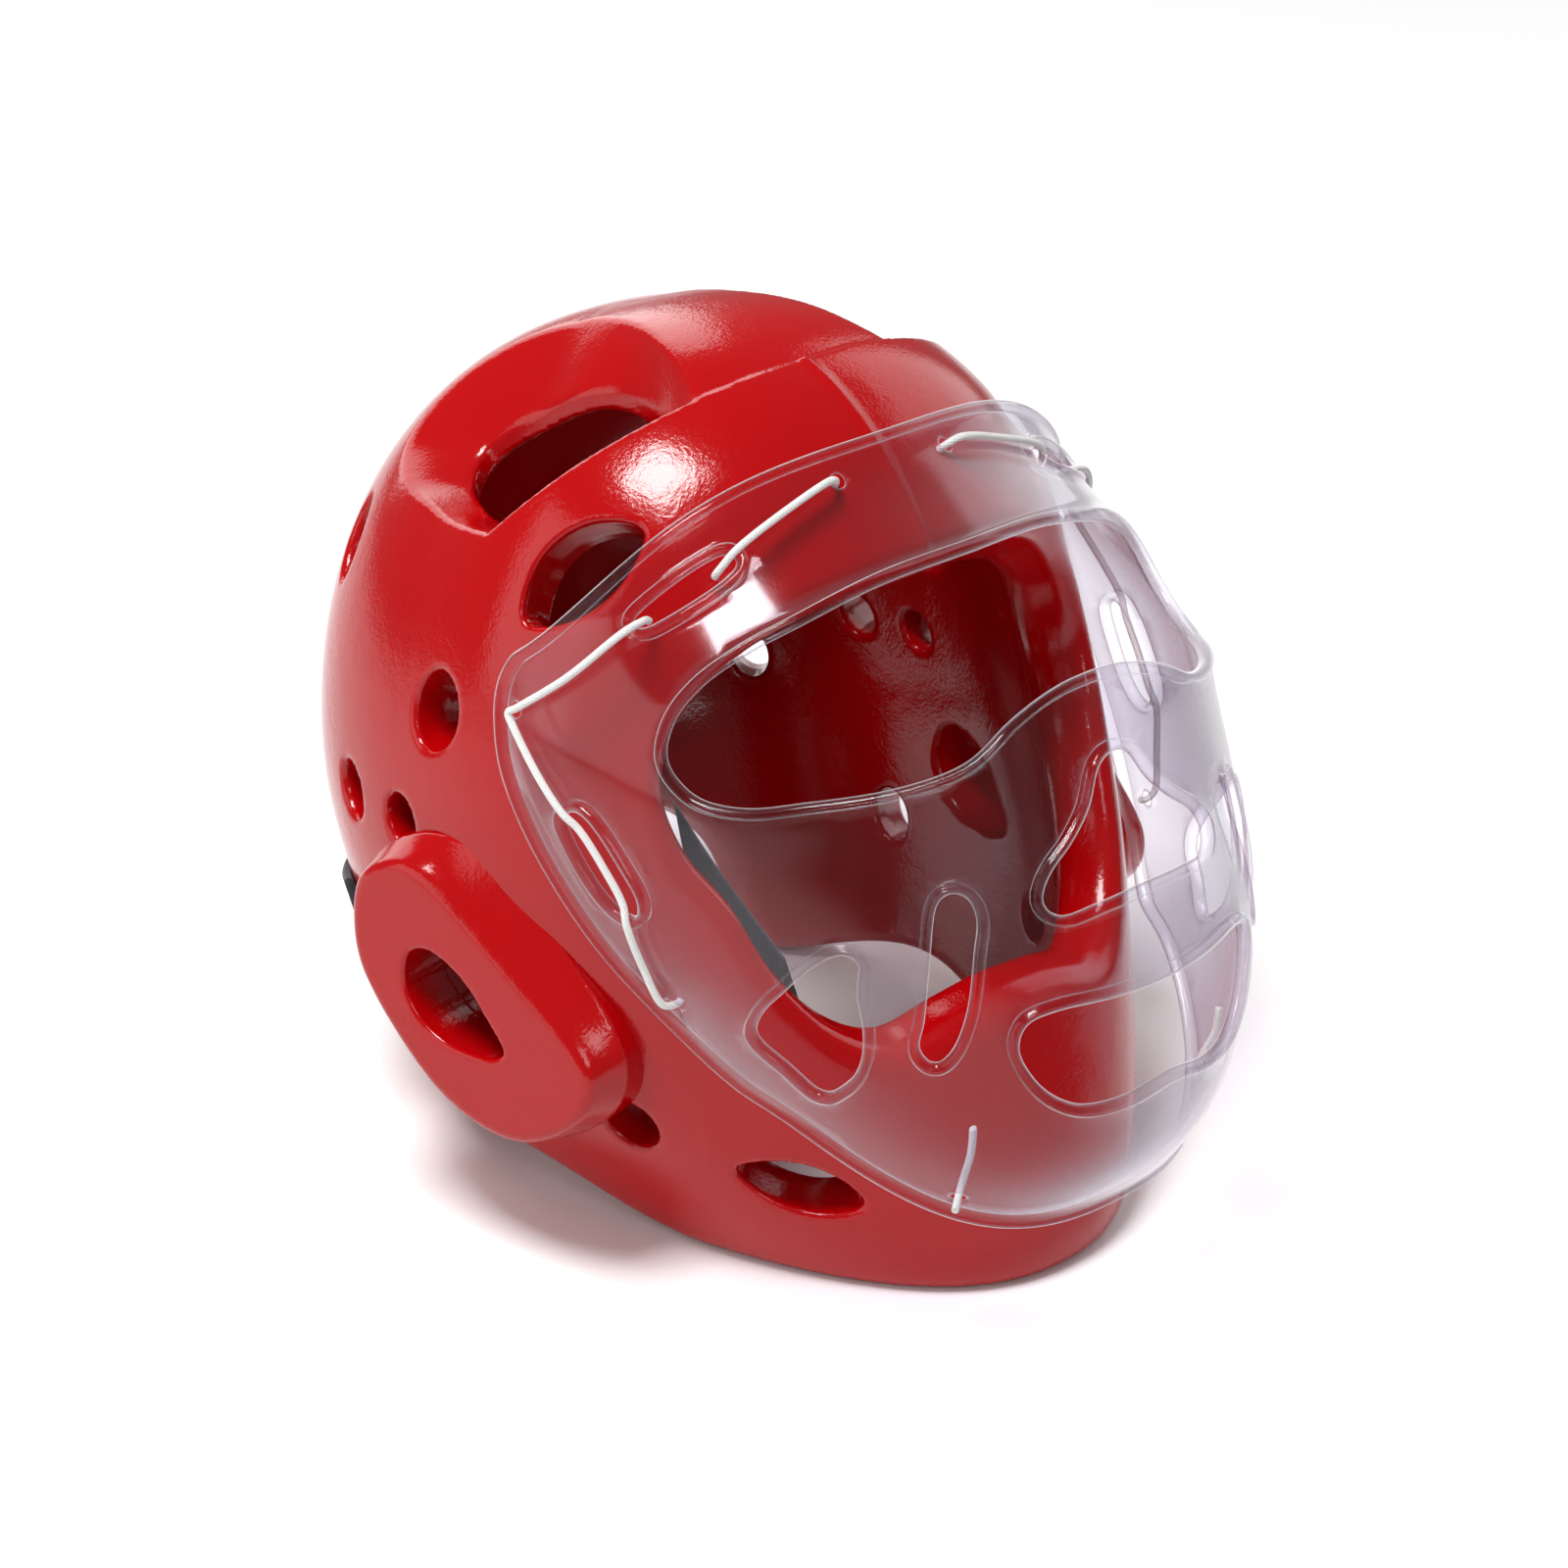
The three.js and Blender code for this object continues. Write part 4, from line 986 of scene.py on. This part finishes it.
SHIELD_ROWS = tuple(map(ShieldRow._make, (
    (0, 0.927, 0.298, 0.162, 0.583, 0, 3.3, 1.1), (0.1, 0.959, 0.28, 0.2, 0.613, 0.052, 3, 1.05),
    (0.2, 0.984, 0.271, 0.243, 0.702, 0.124, 2.6, 1), (0.3, 1, 0.271, 0.3, 0.845, 0.219, 2.3, 1),
    (0.4, 0.993, 0.283, 0.367, 0.958, 0.324, 2, 1), (0.52, 0.975, 0.3125, 0.443, 0.976, 0.438, 2, 1),
    (0.64, 0.942, 0.354, 0.524, 0.991, 0.562, 2, 1), (0.75, 0.898, 0.393, 0.59, 1, 0.686, 2.1, 1),
    (0.86, 0.821, 0.449, 0.676, 0.982, 0.81, 2.5, 1.05), (0.94, 0.767, 0.479, 0.729, 0.911, 0.924, 2.9, 1.15),
    (1, 0.728, 0.497, 0.762, 0.798, 1, 3.2, 1.25),
)))


@dataclass
class ShieldForm:
    """Middle of the shield sheet; across runs from -1 to 1 and down from 0 to 1."""

    half_width: float = 103.0
    reach: float = 168.6
    height: float = 210.0
    top: float = 104.0

    def __post_init__(self) -> None:
        """Reads the row table."""
        self.columns = read_columns(SHIELD_ROWS, 0.018)

    def point(self, places: Array) -> Array:
        """Points of the sheet at rows of (across, down)."""
        across, down = places.T
        row = {name: column(down) for name, column in self.columns.items()}
        sweep = np.sin(across * math.pi / 2)
        bow = np.maximum(np.cos(across * math.pi / 2), 0) ** row["bow"]
        reach = row["side_reach"] + (row["mid_reach"] - row["side_reach"]) * bow
        drape = 1 - np.abs(sweep) ** row["drape"]
        drop = row["side_drop"] + (row["mid_drop"] - row["side_drop"]) * drape
        x = self.half_width * row["side_across"] * sweep
        return np.stack([x, -self.reach * reach, self.top - self.height * drop], 1)

    def slopes(self, places: Array) -> tuple[Array, Array]:
        """Directions in which the sheet runs across and down at places on it."""
        held = np.stack([np.clip(places[:, 0], -0.992, 0.992), np.clip(places[:, 1], -0.03, 1.03)], 1)
        over, under = np.array([0.006, 0]), np.array([0, 0.006])
        run = (self.point(held + over) - self.point(held - over)) / 0.012
        fall = (self.point(held + under) - self.point(held - under)) / 0.012
        return run, fall

    def normal(self, places: Array) -> Array:
        """Outward normals of the sheet at places on it."""
        run, fall = self.slopes(places)
        normal = np.cross(fall, run)
        return normal / np.linalg.norm(normal, axis=1, keepdims=True)

    def lifted(self, places: Array, lift: Array | float) -> Array:
        """Points over the sheet, lifted outwards by a distance."""
        return self.point(places) + self.normal(places) * np.reshape(lift, (-1, 1))

    def inset(self, loop: Array, distance: float, role: LoopRole) -> Array:
        """Draws a loop on the sheet back from the edge that it marks.

        Args:
            loop: Places of a closed loop on the sheet.
            distance: How far it is drawn into the sheet, in millimetres.
            role: Whether it is the sheet's rim or an opening.

        Returns:
            The places of the drawn back loop.
        """
        run, fall = self.slopes(loop)
        ahead = self.point(np.roll(loop, -1, axis=0)) - self.point(np.roll(loop, 1, axis=0))
        side = np.cross(self.normal(loop), ahead)
        side /= np.linalg.norm(side, axis=1, keepdims=True)
        area = np.sum(loop[:, 0] * np.roll(loop[:, 1], -1) - loop[:, 1] * np.roll(loop[:, 0], -1))
        inward = -1.0 if (area > 0) == (role is LoopRole.RIM) else 1.0
        move = side * distance * inward
        rr, rf, ff = (run * run).sum(1), (run * fall).sum(1), (fall * fall).sum(1)
        mr, mf = (move * run).sum(1), (move * fall).sum(1)
        det = rr * ff - rf * rf
        return loop + np.stack([(mr * ff - mf * rf) / det, (mf * rr - mr * rf) / det], 1)


EYE_HALF = (
    (0, 0.231), (0.18, 0.231), (0.34, 0.238), (0.45, 0.243), (0.55, 0.258), (0.62, 0.287), (0.665, 0.335),
    (0.655, 0.385), (0.6, 0.415), (0.5, 0.427), (0.37, 0.437), (0.26, 0.43), (0.17, 0.4), (0.08, 0.383),
    (0, 0.379),
)
NOSE_HALF = (
    (0, 0.478), (0.035, 0.488), (0.07, 0.532), (0.12, 0.568), (0.175, 0.598), (0.2, 0.628), (0.18, 0.646),
    (0.1, 0.645), (0, 0.642),
)
MOUTH_HALF = (
    (0, 0.752), (0.12, 0.752), (0.23, 0.754), (0.29, 0.768), (0.312, 0.8), (0.29, 0.838), (0.23, 0.863),
    (0.12, 0.867), (0, 0.858),
)
CHEEK_FIN = (
    (0.785, 0.828), (0.74, 0.78), (0.675, 0.735), (0.6, 0.684), (0.54, 0.661), (0.52, 0.672), (0.545, 0.72),
    (0.565, 0.78), (0.605, 0.838), (0.65, 0.874), (0.705, 0.9), (0.75, 0.868),
)
CHEEK_SLOT = (
    (0.362, 0.6), (0.34, 0.592), (0.316, 0.602), (0.312, 0.63), (0.335, 0.672), (0.38, 0.748), (0.43, 0.8),
    (0.47, 0.818), (0.482, 0.8), (0.455, 0.762), (0.405, 0.672),
)
UPPER_LACE_SLOT = (
    (0.59, 0.128), (0.56, 0.12), (0.4, 0.112), (0.37, 0.118), (0.365, 0.136), (0.4, 0.148), (0.53, 0.153),
    (0.58, 0.146),
)
SIDE_LACE_SLOT = (
    (0.9, 0.4), (0.862, 0.39), (0.832, 0.53), (0.836, 0.57), (0.862, 0.598), (0.892, 0.575), (0.905, 0.42),
)
LACE_HOLES = ((0.126, 0.078), (0.93, 0.18), (0.93, 0.79), (0.42, 0.975))


def node_group(name: str, inputs: dict[str, tuple[str, object]]) -> bpy.types.GeometryNodeTree:
    """Starts a geometry node tree with named inputs.

    Args:
        name: Name of the tree.
        inputs: Input names with their socket types and values.

    Returns:
        The tree, with its group input and output nodes.
    """
    tree = bpy.data.node_groups.new(name, "GeometryNodeTree")
    tree.interface.new_socket("Geometry", in_out="INPUT", socket_type="NodeSocketGeometry")
    for label, (kind, value) in inputs.items():
        socket = tree.interface.new_socket(label, in_out="INPUT", socket_type=kind)
        if value is not None:
            socket.default_value = value
    tree.interface.new_socket("Geometry", in_out="OUTPUT", socket_type="NodeSocketGeometry")
    tree.nodes.new("NodeGroupInput").name = "in"
    tree.nodes.new("NodeGroupOutput").name = "out"
    return tree


def cord_tree() -> bpy.types.GeometryNodeTree:
    """Builds the tree that turns drawn lines into round cords with a UV map.

    Returns:
        The tree: its inputs are the radius, the sides and the material.
    """
    tree = node_group("round_cord", {
        "Radius": ("NodeSocketFloat", 0.001),
        "Sides": ("NodeSocketInt", 12),
        "Finish": ("NodeSocketMaterial", None),
    })
    source, done = tree.nodes["in"].outputs, tree.nodes["out"].inputs

    def feed(node: bpy.types.Node, **sources: Socket) -> bpy.types.Node:
        """Links sockets to a node's inputs; an underscore stands for a space."""
        for label, socket in sources.items():
            tree.links.new(socket, node.inputs[label.replace("_", " ")])
        return node

    def kept(label: str, measure: str, **sources: Socket) -> bpy.types.Node:
        """Stores a measure along a curve under a label."""
        node = tree.nodes.new("GeometryNodeCaptureAttribute")
        node.capture_items.new("FLOAT", label)
        along = tree.nodes.new("GeometryNodeSplineParameter")
        return feed(node, **sources, **{label: along.outputs[measure]})

    new = tree.nodes.new
    curve = feed(new("GeometryNodeMeshToCurve"), Mesh=source["Geometry"])
    along = kept("Along", "Length", Geometry=curve.outputs["Curve"])
    circle = new("GeometryNodeCurvePrimitiveCircle")
    profile = feed(circle, Resolution=source["Sides"], Radius=source["Radius"])
    around = kept("Around", "Factor", Geometry=profile.outputs["Curve"])
    sections = {"Curve": along.outputs["Geometry"], "Profile_Curve": around.outputs["Geometry"]}
    tube = feed(new("GeometryNodeCurveToMesh"), **sections)
    tube.inputs["Fill Caps"].default_value = True
    pair = feed(new("ShaderNodeCombineXYZ"), X=around.outputs["Around"], Y=along.outputs["Along"])
    store = new("GeometryNodeStoreNamedAttribute")
    store.data_type, store.domain = "FLOAT2", "CORNER"
    store.inputs["Name"].default_value = "UVMap"
    feed(store, Geometry=tube.outputs["Mesh"], Value=pair.outputs[0])
    smooth = feed(new("GeometryNodeSetShadeSmooth"), Geometry=store.outputs["Geometry"])
    realize = feed(new("GeometryNodeRealizeInstances"), Geometry=smooth.outputs["Geometry"])
    finish = new("GeometryNodeSetMaterial")
    feed(finish, Geometry=realize.outputs["Geometry"], Material=source["Finish"])
    tree.links.new(finish.outputs["Geometry"], done["Geometry"])
    return tree


def cord_on_line(
    name: str, line: Array, radius: float, sides: int, finish: bpy.types.Material
) -> bpy.types.Object:
    """Makes a round cord along a drawn line with the cord tree.

    Args:
        name: Name of the piece.
        line: Upright points of the line, in millimetres.
        radius: Radius of the cord in millimetres.
        sides: Sides of the round section.
        finish: Material of the cord.

    Returns:
        The piece, as a plain mesh.
    """
    mesh = bpy.data.meshes.new(f"{name}_line")
    edges = [(i, i + 1) for i in range(len(line) - 1)]
    mesh.from_pydata(STANCE.to_scene(line).tolist(), edges, [])
    piece = bpy.data.objects.new(name, mesh)
    bpy.context.scene.collection.objects.link(piece)
    tree = bpy.data.node_groups.get("round_cord") or cord_tree()
    modifier = piece.modifiers.new("cord", "NODES")
    modifier.node_group = tree
    values = {"Radius": radius / 1000, "Sides": sides, "Finish": finish}
    for item in tree.interface.items_tree:
        if item.in_out == "INPUT" and item.name in values:
            modifier[item.identifier] = values[item.name]
    shown = bpy.data.meshes.new_from_object(piece.evaluated_get(bpy.context.evaluated_depsgraph_get()))
    piece.modifiers.clear()
    piece.data = shown
    shown.name = name
    return piece


class RimLoop(NamedTuple):
    """Closed edge of the shield sheet: its places, how it is used and the radius of its rounded rim."""

    places: Array
    role: LoopRole
    radius: float


@dataclass
class FaceShield:
    """Clear sheet over the face, in one piece with the rounded rims of its edge and its openings."""

    form: ShieldForm
    finish: bpy.types.Material
    thickness: float = 2.0
    bead_radius: float = 2.15
    small_bead_radius: float = 0.9
    lace_hole_radius: float = 2.2
    edge_step: float = 1.2
    inner_step: float = 3.2
    fade: float = 0.55
    flat_width: float = 118.0
    flat_height: float = 225.0

    def rim_places(self) -> Array:
        """Places of the sheet's edge, with its corners rounded."""
        top, side = 0.045, 0.11
        half = [(0, 0), (0.3, 0), (0.6, 0), (1 - side, 0), (1 - 0.3 * side, 0.28 * top), (1, top + 0.02)]
        half += [(1, 0.25), (1, 0.5), (1, 0.75), (1, 0.93), (0.985, 0.975)]
        half += [(0.93, 0.997), (0.8, 1), (0.5, 1), (0, 1)]
        return closed_curve(both_sides(half), 16)

    def opening_places(self) -> list[Array]:
        """Places of the edges of all openings but the small lace holes."""
        loops = [closed_curve(both_sides(half), 12) for half in (EYE_HALF, NOSE_HALF, MOUTH_HALF)]
        for rows in (CHEEK_FIN, CHEEK_SLOT, UPPER_LACE_SLOT, SIDE_LACE_SLOT):
            curve = closed_curve(np.array(rows, float), 12)
            loops += [curve, curve * [-1, 1]]
        return loops

    def hole_places(self) -> list[Array]:
        """Places of the edges of the small round lace holes."""
        loops = []
        for across, down in LACE_HOLES:
            for sign in (-1, 1):
                centre = np.array([[sign * across, down]])
                run, fall = self.form.slopes(centre)
                angles = np.linspace(0, 2 * math.pi, 20, endpoint=False)
                size = (np.linalg.norm(run), np.linalg.norm(fall))
                ring = np.stack([np.cos(angles) / size[0], np.sin(angles) / size[1]], 1)
                loops.append(centre + self.lace_hole_radius * ring)
        return loops

    def spread(self, loop: Array) -> Array:
        """Spreads the points of a loop evenly over the sheet and evens out its turns."""
        ring = np.vstack([loop, loop[:1]])
        run = np.concatenate([[0], np.cumsum(np.linalg.norm(np.diff(self.form.point(ring), axis=0), axis=1))])
        count = max(int(round(run[-1] / self.edge_step)), 12)
        at = np.arange(count) * run[-1] / count
        even = np.stack([np.interp(at, run, ring[:, i]) for i in range(2)], 1)
        for _ in range(3):
            even = 0.25 * np.roll(even, 1, axis=0) + 0.5 * even + 0.25 * np.roll(even, -1, axis=0)
        return even

    def section(self, radius: float) -> Array:
        """Section across a rounded rim.

        Args:
            radius: Radius of the rim in millimetres.

        Returns:
            Rows of the distance from the edge and half the thickness there.
        """
        half = self.thickness / 2
        rows = [(radius * (1 - math.cos(t)), radius * math.sin(t)) for t in np.linspace(0, math.pi / 2, 6)]
        for share in (0.25, 0.5, 0.75, 1.0):
            fade = 0.5 + 0.5 * math.cos(math.pi * share)
            rows.append((radius * (1 + self.fade * share), half + (max(radius, half) - half) * fade))
        return np.array(rows)

    def sheet(self, loops: list[RimLoop]) -> tuple[Array, Array]:
        """Cuts the flat sheet into triangles, bends it and rounds its rims.

        Args:
            loops: The sheet's outer edge, then the edges of its openings.

        Returns:
            Points in millimetres and triangles of the closed sheet.
        """
        scale = np.array([self.flat_width, self.flat_height])
        rings, halves, inner_rings = [], [], []
        for loop in loops:
            for distance, half in self.section(loop.radius):
                rings.append(self.form.inset(loop.places, distance, loop.role) if distance else loop.places)
                halves += [half] * len(loop.places)
            inner_rings.append(rings[-1])
        across = np.arange(-1, 1.0001, self.inner_step / scale[0])
        down = np.arange(0, 1.0001, self.inner_step / scale[1])
        inner = np.stack(np.meshgrid(across, down, indexing="ij"), -1).reshape(-1, 2)
        keep = np.ones(len(inner), bool)
        for loop, ring in zip(loops, inner_rings):
            away = loop_distance(inner * scale, ring * scale)
            keep &= (away < -1.0) if loop.role is LoopRole.RIM else (away > 1.0)
        inner = inner[keep]
        edges, start = [], 0
        for ring in rings:
            edges += [(start + i, start + (i + 1) % len(ring)) for i in range(len(ring))]
            start += len(ring)
        flat = np.vstack([*rings, inner])
        halves = np.array(halves + [self.thickness / 2] * len(inner))
        result = delaunay_2d_cdt([Vector(p) for p in flat * scale], edges, [], 0, 1e-6)
        places = np.array([tuple(v) for v in result[0]]) / scale
        half = np.array([halves[came[0]] if came else self.thickness / 2 for came in result[3]])
        triangles = np.array([f for f in result[2] if len(f) == 3])
        middle = places[triangles].mean(1)
        inside = np.ones(len(triangles), bool)
        for loop in loops:
            within = inside_loop(middle, loop.places)
            inside &= within if loop.role is LoopRole.RIM else ~within
        triangles = triangles[inside]
        front = self.form.lifted(places, half)
        back = self.form.lifted(places, -half)
        a, b, c = front[triangles[0]]
        if np.cross(b - a, c - a) @ self.form.normal(places[triangles[0]])[0] < 0:
            triangles = triangles[:, ::-1]
        behind = np.where(half > 1e-6, np.arange(len(places)) + len(places), np.arange(len(places)))
        return np.vstack([front, back]), np.vstack([triangles, behind[triangles[:, ::-1]]])

    def build(self) -> bpy.types.Object:
        """Builds and dresses the sheet.

        Returns:
            The sheet with its rims.
        """
        loops = [RimLoop(self.spread(self.rim_places()), LoopRole.RIM, self.bead_radius)]
        for loop in self.opening_places():
            loops.append(RimLoop(self.spread(loop), LoopRole.OPENING, self.bead_radius))
        for loop in self.hole_places():
            loops.append(RimLoop(loop, LoopRole.OPENING, self.small_bead_radius))
        points, faces = self.sheet(loops)
        used, numbers = np.unique(faces, return_inverse=True)
        sheet = make_piece("shield_sheet", points[used], numbers.reshape(faces.shape))
        sheet.data.materials.append(self.finish)
        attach(sheet, "root")
        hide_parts("face_shield")
        return sheet


class LacePoint(NamedTuple):
    """Point of a lace: its place over the shield and how far outside the sheet it is."""

    across: float
    down: float
    lift: float


class LaceRoute(Enum):
    """Where each lace runs on one side."""

    BROW = tuple(map(LacePoint._make, (
        (0.128, 0.079, -5), (0.13, 0.079, 0), (0.15, 0.08, 2.9), (0.25, 0.102, 2.8), (0.36, 0.124, 2.8),
        (0.392, 0.13, 0.4), (0.41, 0.131, -3),
    )))
    SIDE = tuple(map(LacePoint._make, (
        (0.56, 0.136, -3.2), (0.575, 0.137, 0.2), (0.61, 0.143, 3), (0.75, 0.16, 2.9), (0.9, 0.18, 3),
        (0.926, 0.187, 3.2), (0.92, 0.22, 2.9), (0.895, 0.32, 2.8), (0.88, 0.385, 2.9), (0.872, 0.42, 1.4),
        (0.862, 0.5, 1), (0.862, 0.57, 1.4), (0.87, 0.605, 2.9), (0.9, 0.7, 2.8), (0.925, 0.775, 2.9),
        (0.93, 0.79, 0), (0.93, 0.792, -2.6),
    )))
    CHIN = tuple(map(LacePoint._make, (
        (0.42, 0.905, -4.5), (0.42, 0.93, -3.4), (0.42, 0.965, -3), (0.42, 0.975, 0), (0.42, 0.981, 2.9),
    )))


@dataclass
class Lacing:
    """White elastic laces that tie the shield to the foam."""

    form: ShieldForm
    finish: bpy.types.Material
    radius: float = 1.0
    sides: int = 16
    per_span: int = 14

    def line(self, route: LaceRoute, side: Side) -> Array:
        """Smooth line of one lace on one side, upright in millimetres."""
        rows = np.array(route.value, float)
        places = rows[:, :2] * [side.value, 1]
        points = self.form.lifted(places, rows[:, 2])
        loop = closed_curve(points, self.per_span)
        return loop[: self.per_span * (len(points) - 1) + 1]

    def build(self) -> list[bpy.types.Object]:
        """Builds and dresses the laces.

        Returns:
            The laces.
        """
        pieces = []
        for side in Side:
            for route in LaceRoute:
                name = f"{route.name.lower()}_lace_{side.name.lower()}"
                line = self.line(route, side)
                piece = cord_on_line(f"{name}_cord", line, self.radius, self.sides, self.finish)
                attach(piece, "root")
                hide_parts(name)
                pieces.append(piece)
        return pieces


@dataclass
class Webbing:
    """Flat band laid along the foam at a height."""

    form: ShellForm
    finish: bpy.types.Material
    name: str
    node: str
    from_turn: float
    to_turn: float
    top_start: float
    top_end: float
    width: float
    near: float
    far: float
    steps: int = 160
    across: int = 9
    bevel: float = 0.35
    corner: tuple[float, float] = (0.4, 0.7)

    def skin_point(self, turn: float, z: float, inset: float) -> Array:
        """Point of the form at a turn from the right ear, drawn in by an inset."""
        drawn = ShellForm(
            self.form.half_width - inset, self.form.front - inset, self.form.rear - inset,
            self.form.crown - inset, self.form.chin,
        )
        drawn.jaw = self.form.jaw
        point = drawn.side_point(turn if abs(turn) <= 90 else math.copysign(180 - abs(turn), turn), z)
        return point * [-1, 1, 1] if abs(turn) > 90 else point

    def build(self) -> bpy.types.Object:
        """Builds and dresses the band.

        Returns:
            The band.
        """
        bevel, (run_in, drop_in) = self.bevel * abs(self.far - self.near), self.corner
        middle, half = (self.near + self.far) / 2, abs(self.far - self.near) / 2
        flat = np.clip(np.linspace(0, 1, self.across) * self.width, bevel, self.width - bevel)
        face = [(bevel * run_in, drop_in), *[(w, 1.0) for w in flat], (self.width - bevel * run_in, drop_in)]
        section = [*face, (self.width, 0.0), *[(w, -d) for w, d in reversed(face)], (0.0, 0.0)]
        rings = []
        for i in range(self.steps + 1):
            share = i / self.steps
            turn = self.from_turn + (self.to_turn - self.from_turn) * share
            top = self.top_start + (self.top_end - self.top_start) * share
            rings.append([self.skin_point(turn, top - w, middle - d * half) for w, d in section])
        points = np.array(rings)
        run = np.concatenate([[0], np.cumsum(np.linalg.norm(np.diff(points[:, 0], axis=0), axis=1))])
        n = len(section)
        flat = points.reshape(-1, 3)
        faces = np.array([
            (i * n + j, i * n + (j + 1) % n, (i + 1) * n + (j + 1) % n, (i + 1) * n + j)
            for i in range(self.steps) for j in range(n)
        ])
        a, b, c = flat[faces[3]][:3]
        outward = flat[faces[3]].mean(0) - points[0].mean(0)
        if np.cross(b - a, c - a) @ outward < 0:
            faces = faces[:, ::-1]
        piece = make_piece(self.name, flat, faces)
        caps = [tuple(range(n)), tuple(range(len(flat) - 1, len(flat) - 1 - n, -1))]
        mesh = piece.data
        whole = [tuple(p.vertices) for p in mesh.polygons] + caps
        coordinates = [tuple(v.co) for v in mesh.vertices]
        mesh.clear_geometry()
        mesh.from_pydata(coordinates, [], whole)
        mesh.polygons.foreach_set("use_smooth", np.full(len(whole), True))
        layer = mesh.uv_layers.new(name="UVMap")
        for loop in mesh.loops:
            i, j = divmod(loop.vertex_index, n)
            layer.data[loop.index].uv = (run[i] / 1000, section[j][0] / 1000)
        mesh.update()
        piece.data.materials.append(self.finish)
        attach(piece, "root")
        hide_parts(self.node)
        return piece


class LampRow(NamedTuple):
    """Soft square lamp: where it hangs and its side, in metres, and its power in watts."""

    name: str
    place: tuple[float, float, float]
    size: float
    power: float


LAMP_ROWS = (
    LampRow("top_lamp", (-0.5, 0.0, 1.55), 0.5, 24),
    LampRow("left_lamp", (-1.8, 0.55, 0.75), 1.4, 10),
    LampRow("right_lamp", (1.6, 0.1, 0.9), 1.3, 8),
    LampRow("back_lamp", (0.5, 1.8, 1.0), 1.6, 17),
    LampRow("front_lamp", (-0.75, -1.5, 1.25), 0.5, 4),
)


@dataclass
class Studio:
    """Pale surface, soft lamps and the camera."""

    distance: float = 1075.0
    azimuth: float = math.radians(-41.0)
    elevation: float = math.radians(27.0)
    lens: float = 85.5
    shift: float = 0.0406
    aim_height: float = 0.12
    world_light: float = 0.2
    half_floor: float = 6.0
    surface: bpy.types.Material = field(default_factory=lambda: PaleSurface().material())

    def camera(self) -> bpy.types.Object:
        """Puts up the camera.

        Returns:
            The camera.
        """
        back = np.array([
            math.sin(self.azimuth) * math.cos(self.elevation),
            -math.cos(self.azimuth) * math.cos(self.elevation),
            math.sin(self.elevation),
        ])
        right = np.array([math.cos(self.azimuth), math.sin(self.azimuth), 0])
        up = np.cross(back, right)
        place = (back * self.distance + [0, STANCE.shift, STANCE.drop]) / 1000
        data = bpy.data.cameras.new("camera")
        data.lens, data.sensor_width, data.shift_x = self.lens, 36.0, self.shift
        data.clip_start, data.clip_end = 0.05, 50.0
        camera = bpy.data.objects.new("camera", data)
        turn = Matrix((right, up, back)).transposed().to_4x4()
        camera.matrix_world = Matrix.Translation(place) @ turn
        bpy.context.scene.collection.objects.link(camera)
        bpy.context.scene.camera = camera
        return camera

    def lamp(self, row: LampRow) -> None:
        """Hangs a lamp that faces the headgear.

        Args:
            row: Row of the lamp table.
        """
        data = bpy.data.lights.new(row.name, "AREA")
        data.size, data.energy = row.size, row.power
        lamp = bpy.data.objects.new(row.name, data)
        lamp.location = row.place
        aim = Vector((0, 0, self.aim_height)) - Vector(row.place)
        lamp.rotation_euler = aim.to_track_quat("-Z", "Y").to_euler()
        bpy.context.scene.collection.objects.link(lamp)

    def build(self) -> None:
        """Puts up the surface, the lamps and the camera."""
        mesh = bpy.data.meshes.new("pale_floor")
        end = self.half_floor
        mesh.from_pydata([(-end, -end, 0), (end, -end, 0), (end, end, 0), (-end, end, 0)], [], [(0, 1, 2, 3)])
        floor = bpy.data.objects.new("pale_floor", mesh)
        floor.data.materials.append(self.surface)
        bpy.context.scene.collection.objects.link(floor)
        for row in LAMP_ROWS:
            self.lamp(row)
        world = bpy.data.worlds.new("studio")
        world.use_nodes = True
        colour, strength = world.node_tree.nodes["Background"].inputs[:2]
        colour.default_value, strength.default_value = (1, 1, 1, 1), self.world_light
        bpy.context.scene.world = world
        bpy.context.scene.view_settings.view_transform = "Standard"
        self.camera()


def main() -> None:
    """Builds the headgear and its studio, piece by piece."""
    form, ear, sheet = ShellForm(), EarFrame(), ShieldForm()
    red, clear = DippedFoam().material(), ClearPlastic().material()
    white, black = BraidedElastic().material(), WovenWebbing().material()
    pieces = [FoamBody(form, ear, red).build()]
    pieces += [EarPad(form, ear, red, side).build() for side in Side]
    pieces.append(FaceShield(sheet, clear).build())
    pieces += Lacing(sheet, white).build()
    pieces.append(Webbing(
        form, black, "nape_webbing", "nape_strap", from_turn=-27, to_turn=-153, top_start=-1, top_end=-1,
        width=25, near=-0.45, far=-3.05,
    ).build())
    pieces.append(Webbing(
        form, black, "cheek_webbing", "strap_tail", from_turn=44, to_turn=57.5, top_start=20, top_end=-28,
        width=22, near=21.8, far=19.9, steps=60,
    ).build())
    Studio().build()
    for piece in pieces:
        LOG.info("%s: %d faces", piece.name, len(piece.data.polygons))


if __name__ == "__main__":
    main()
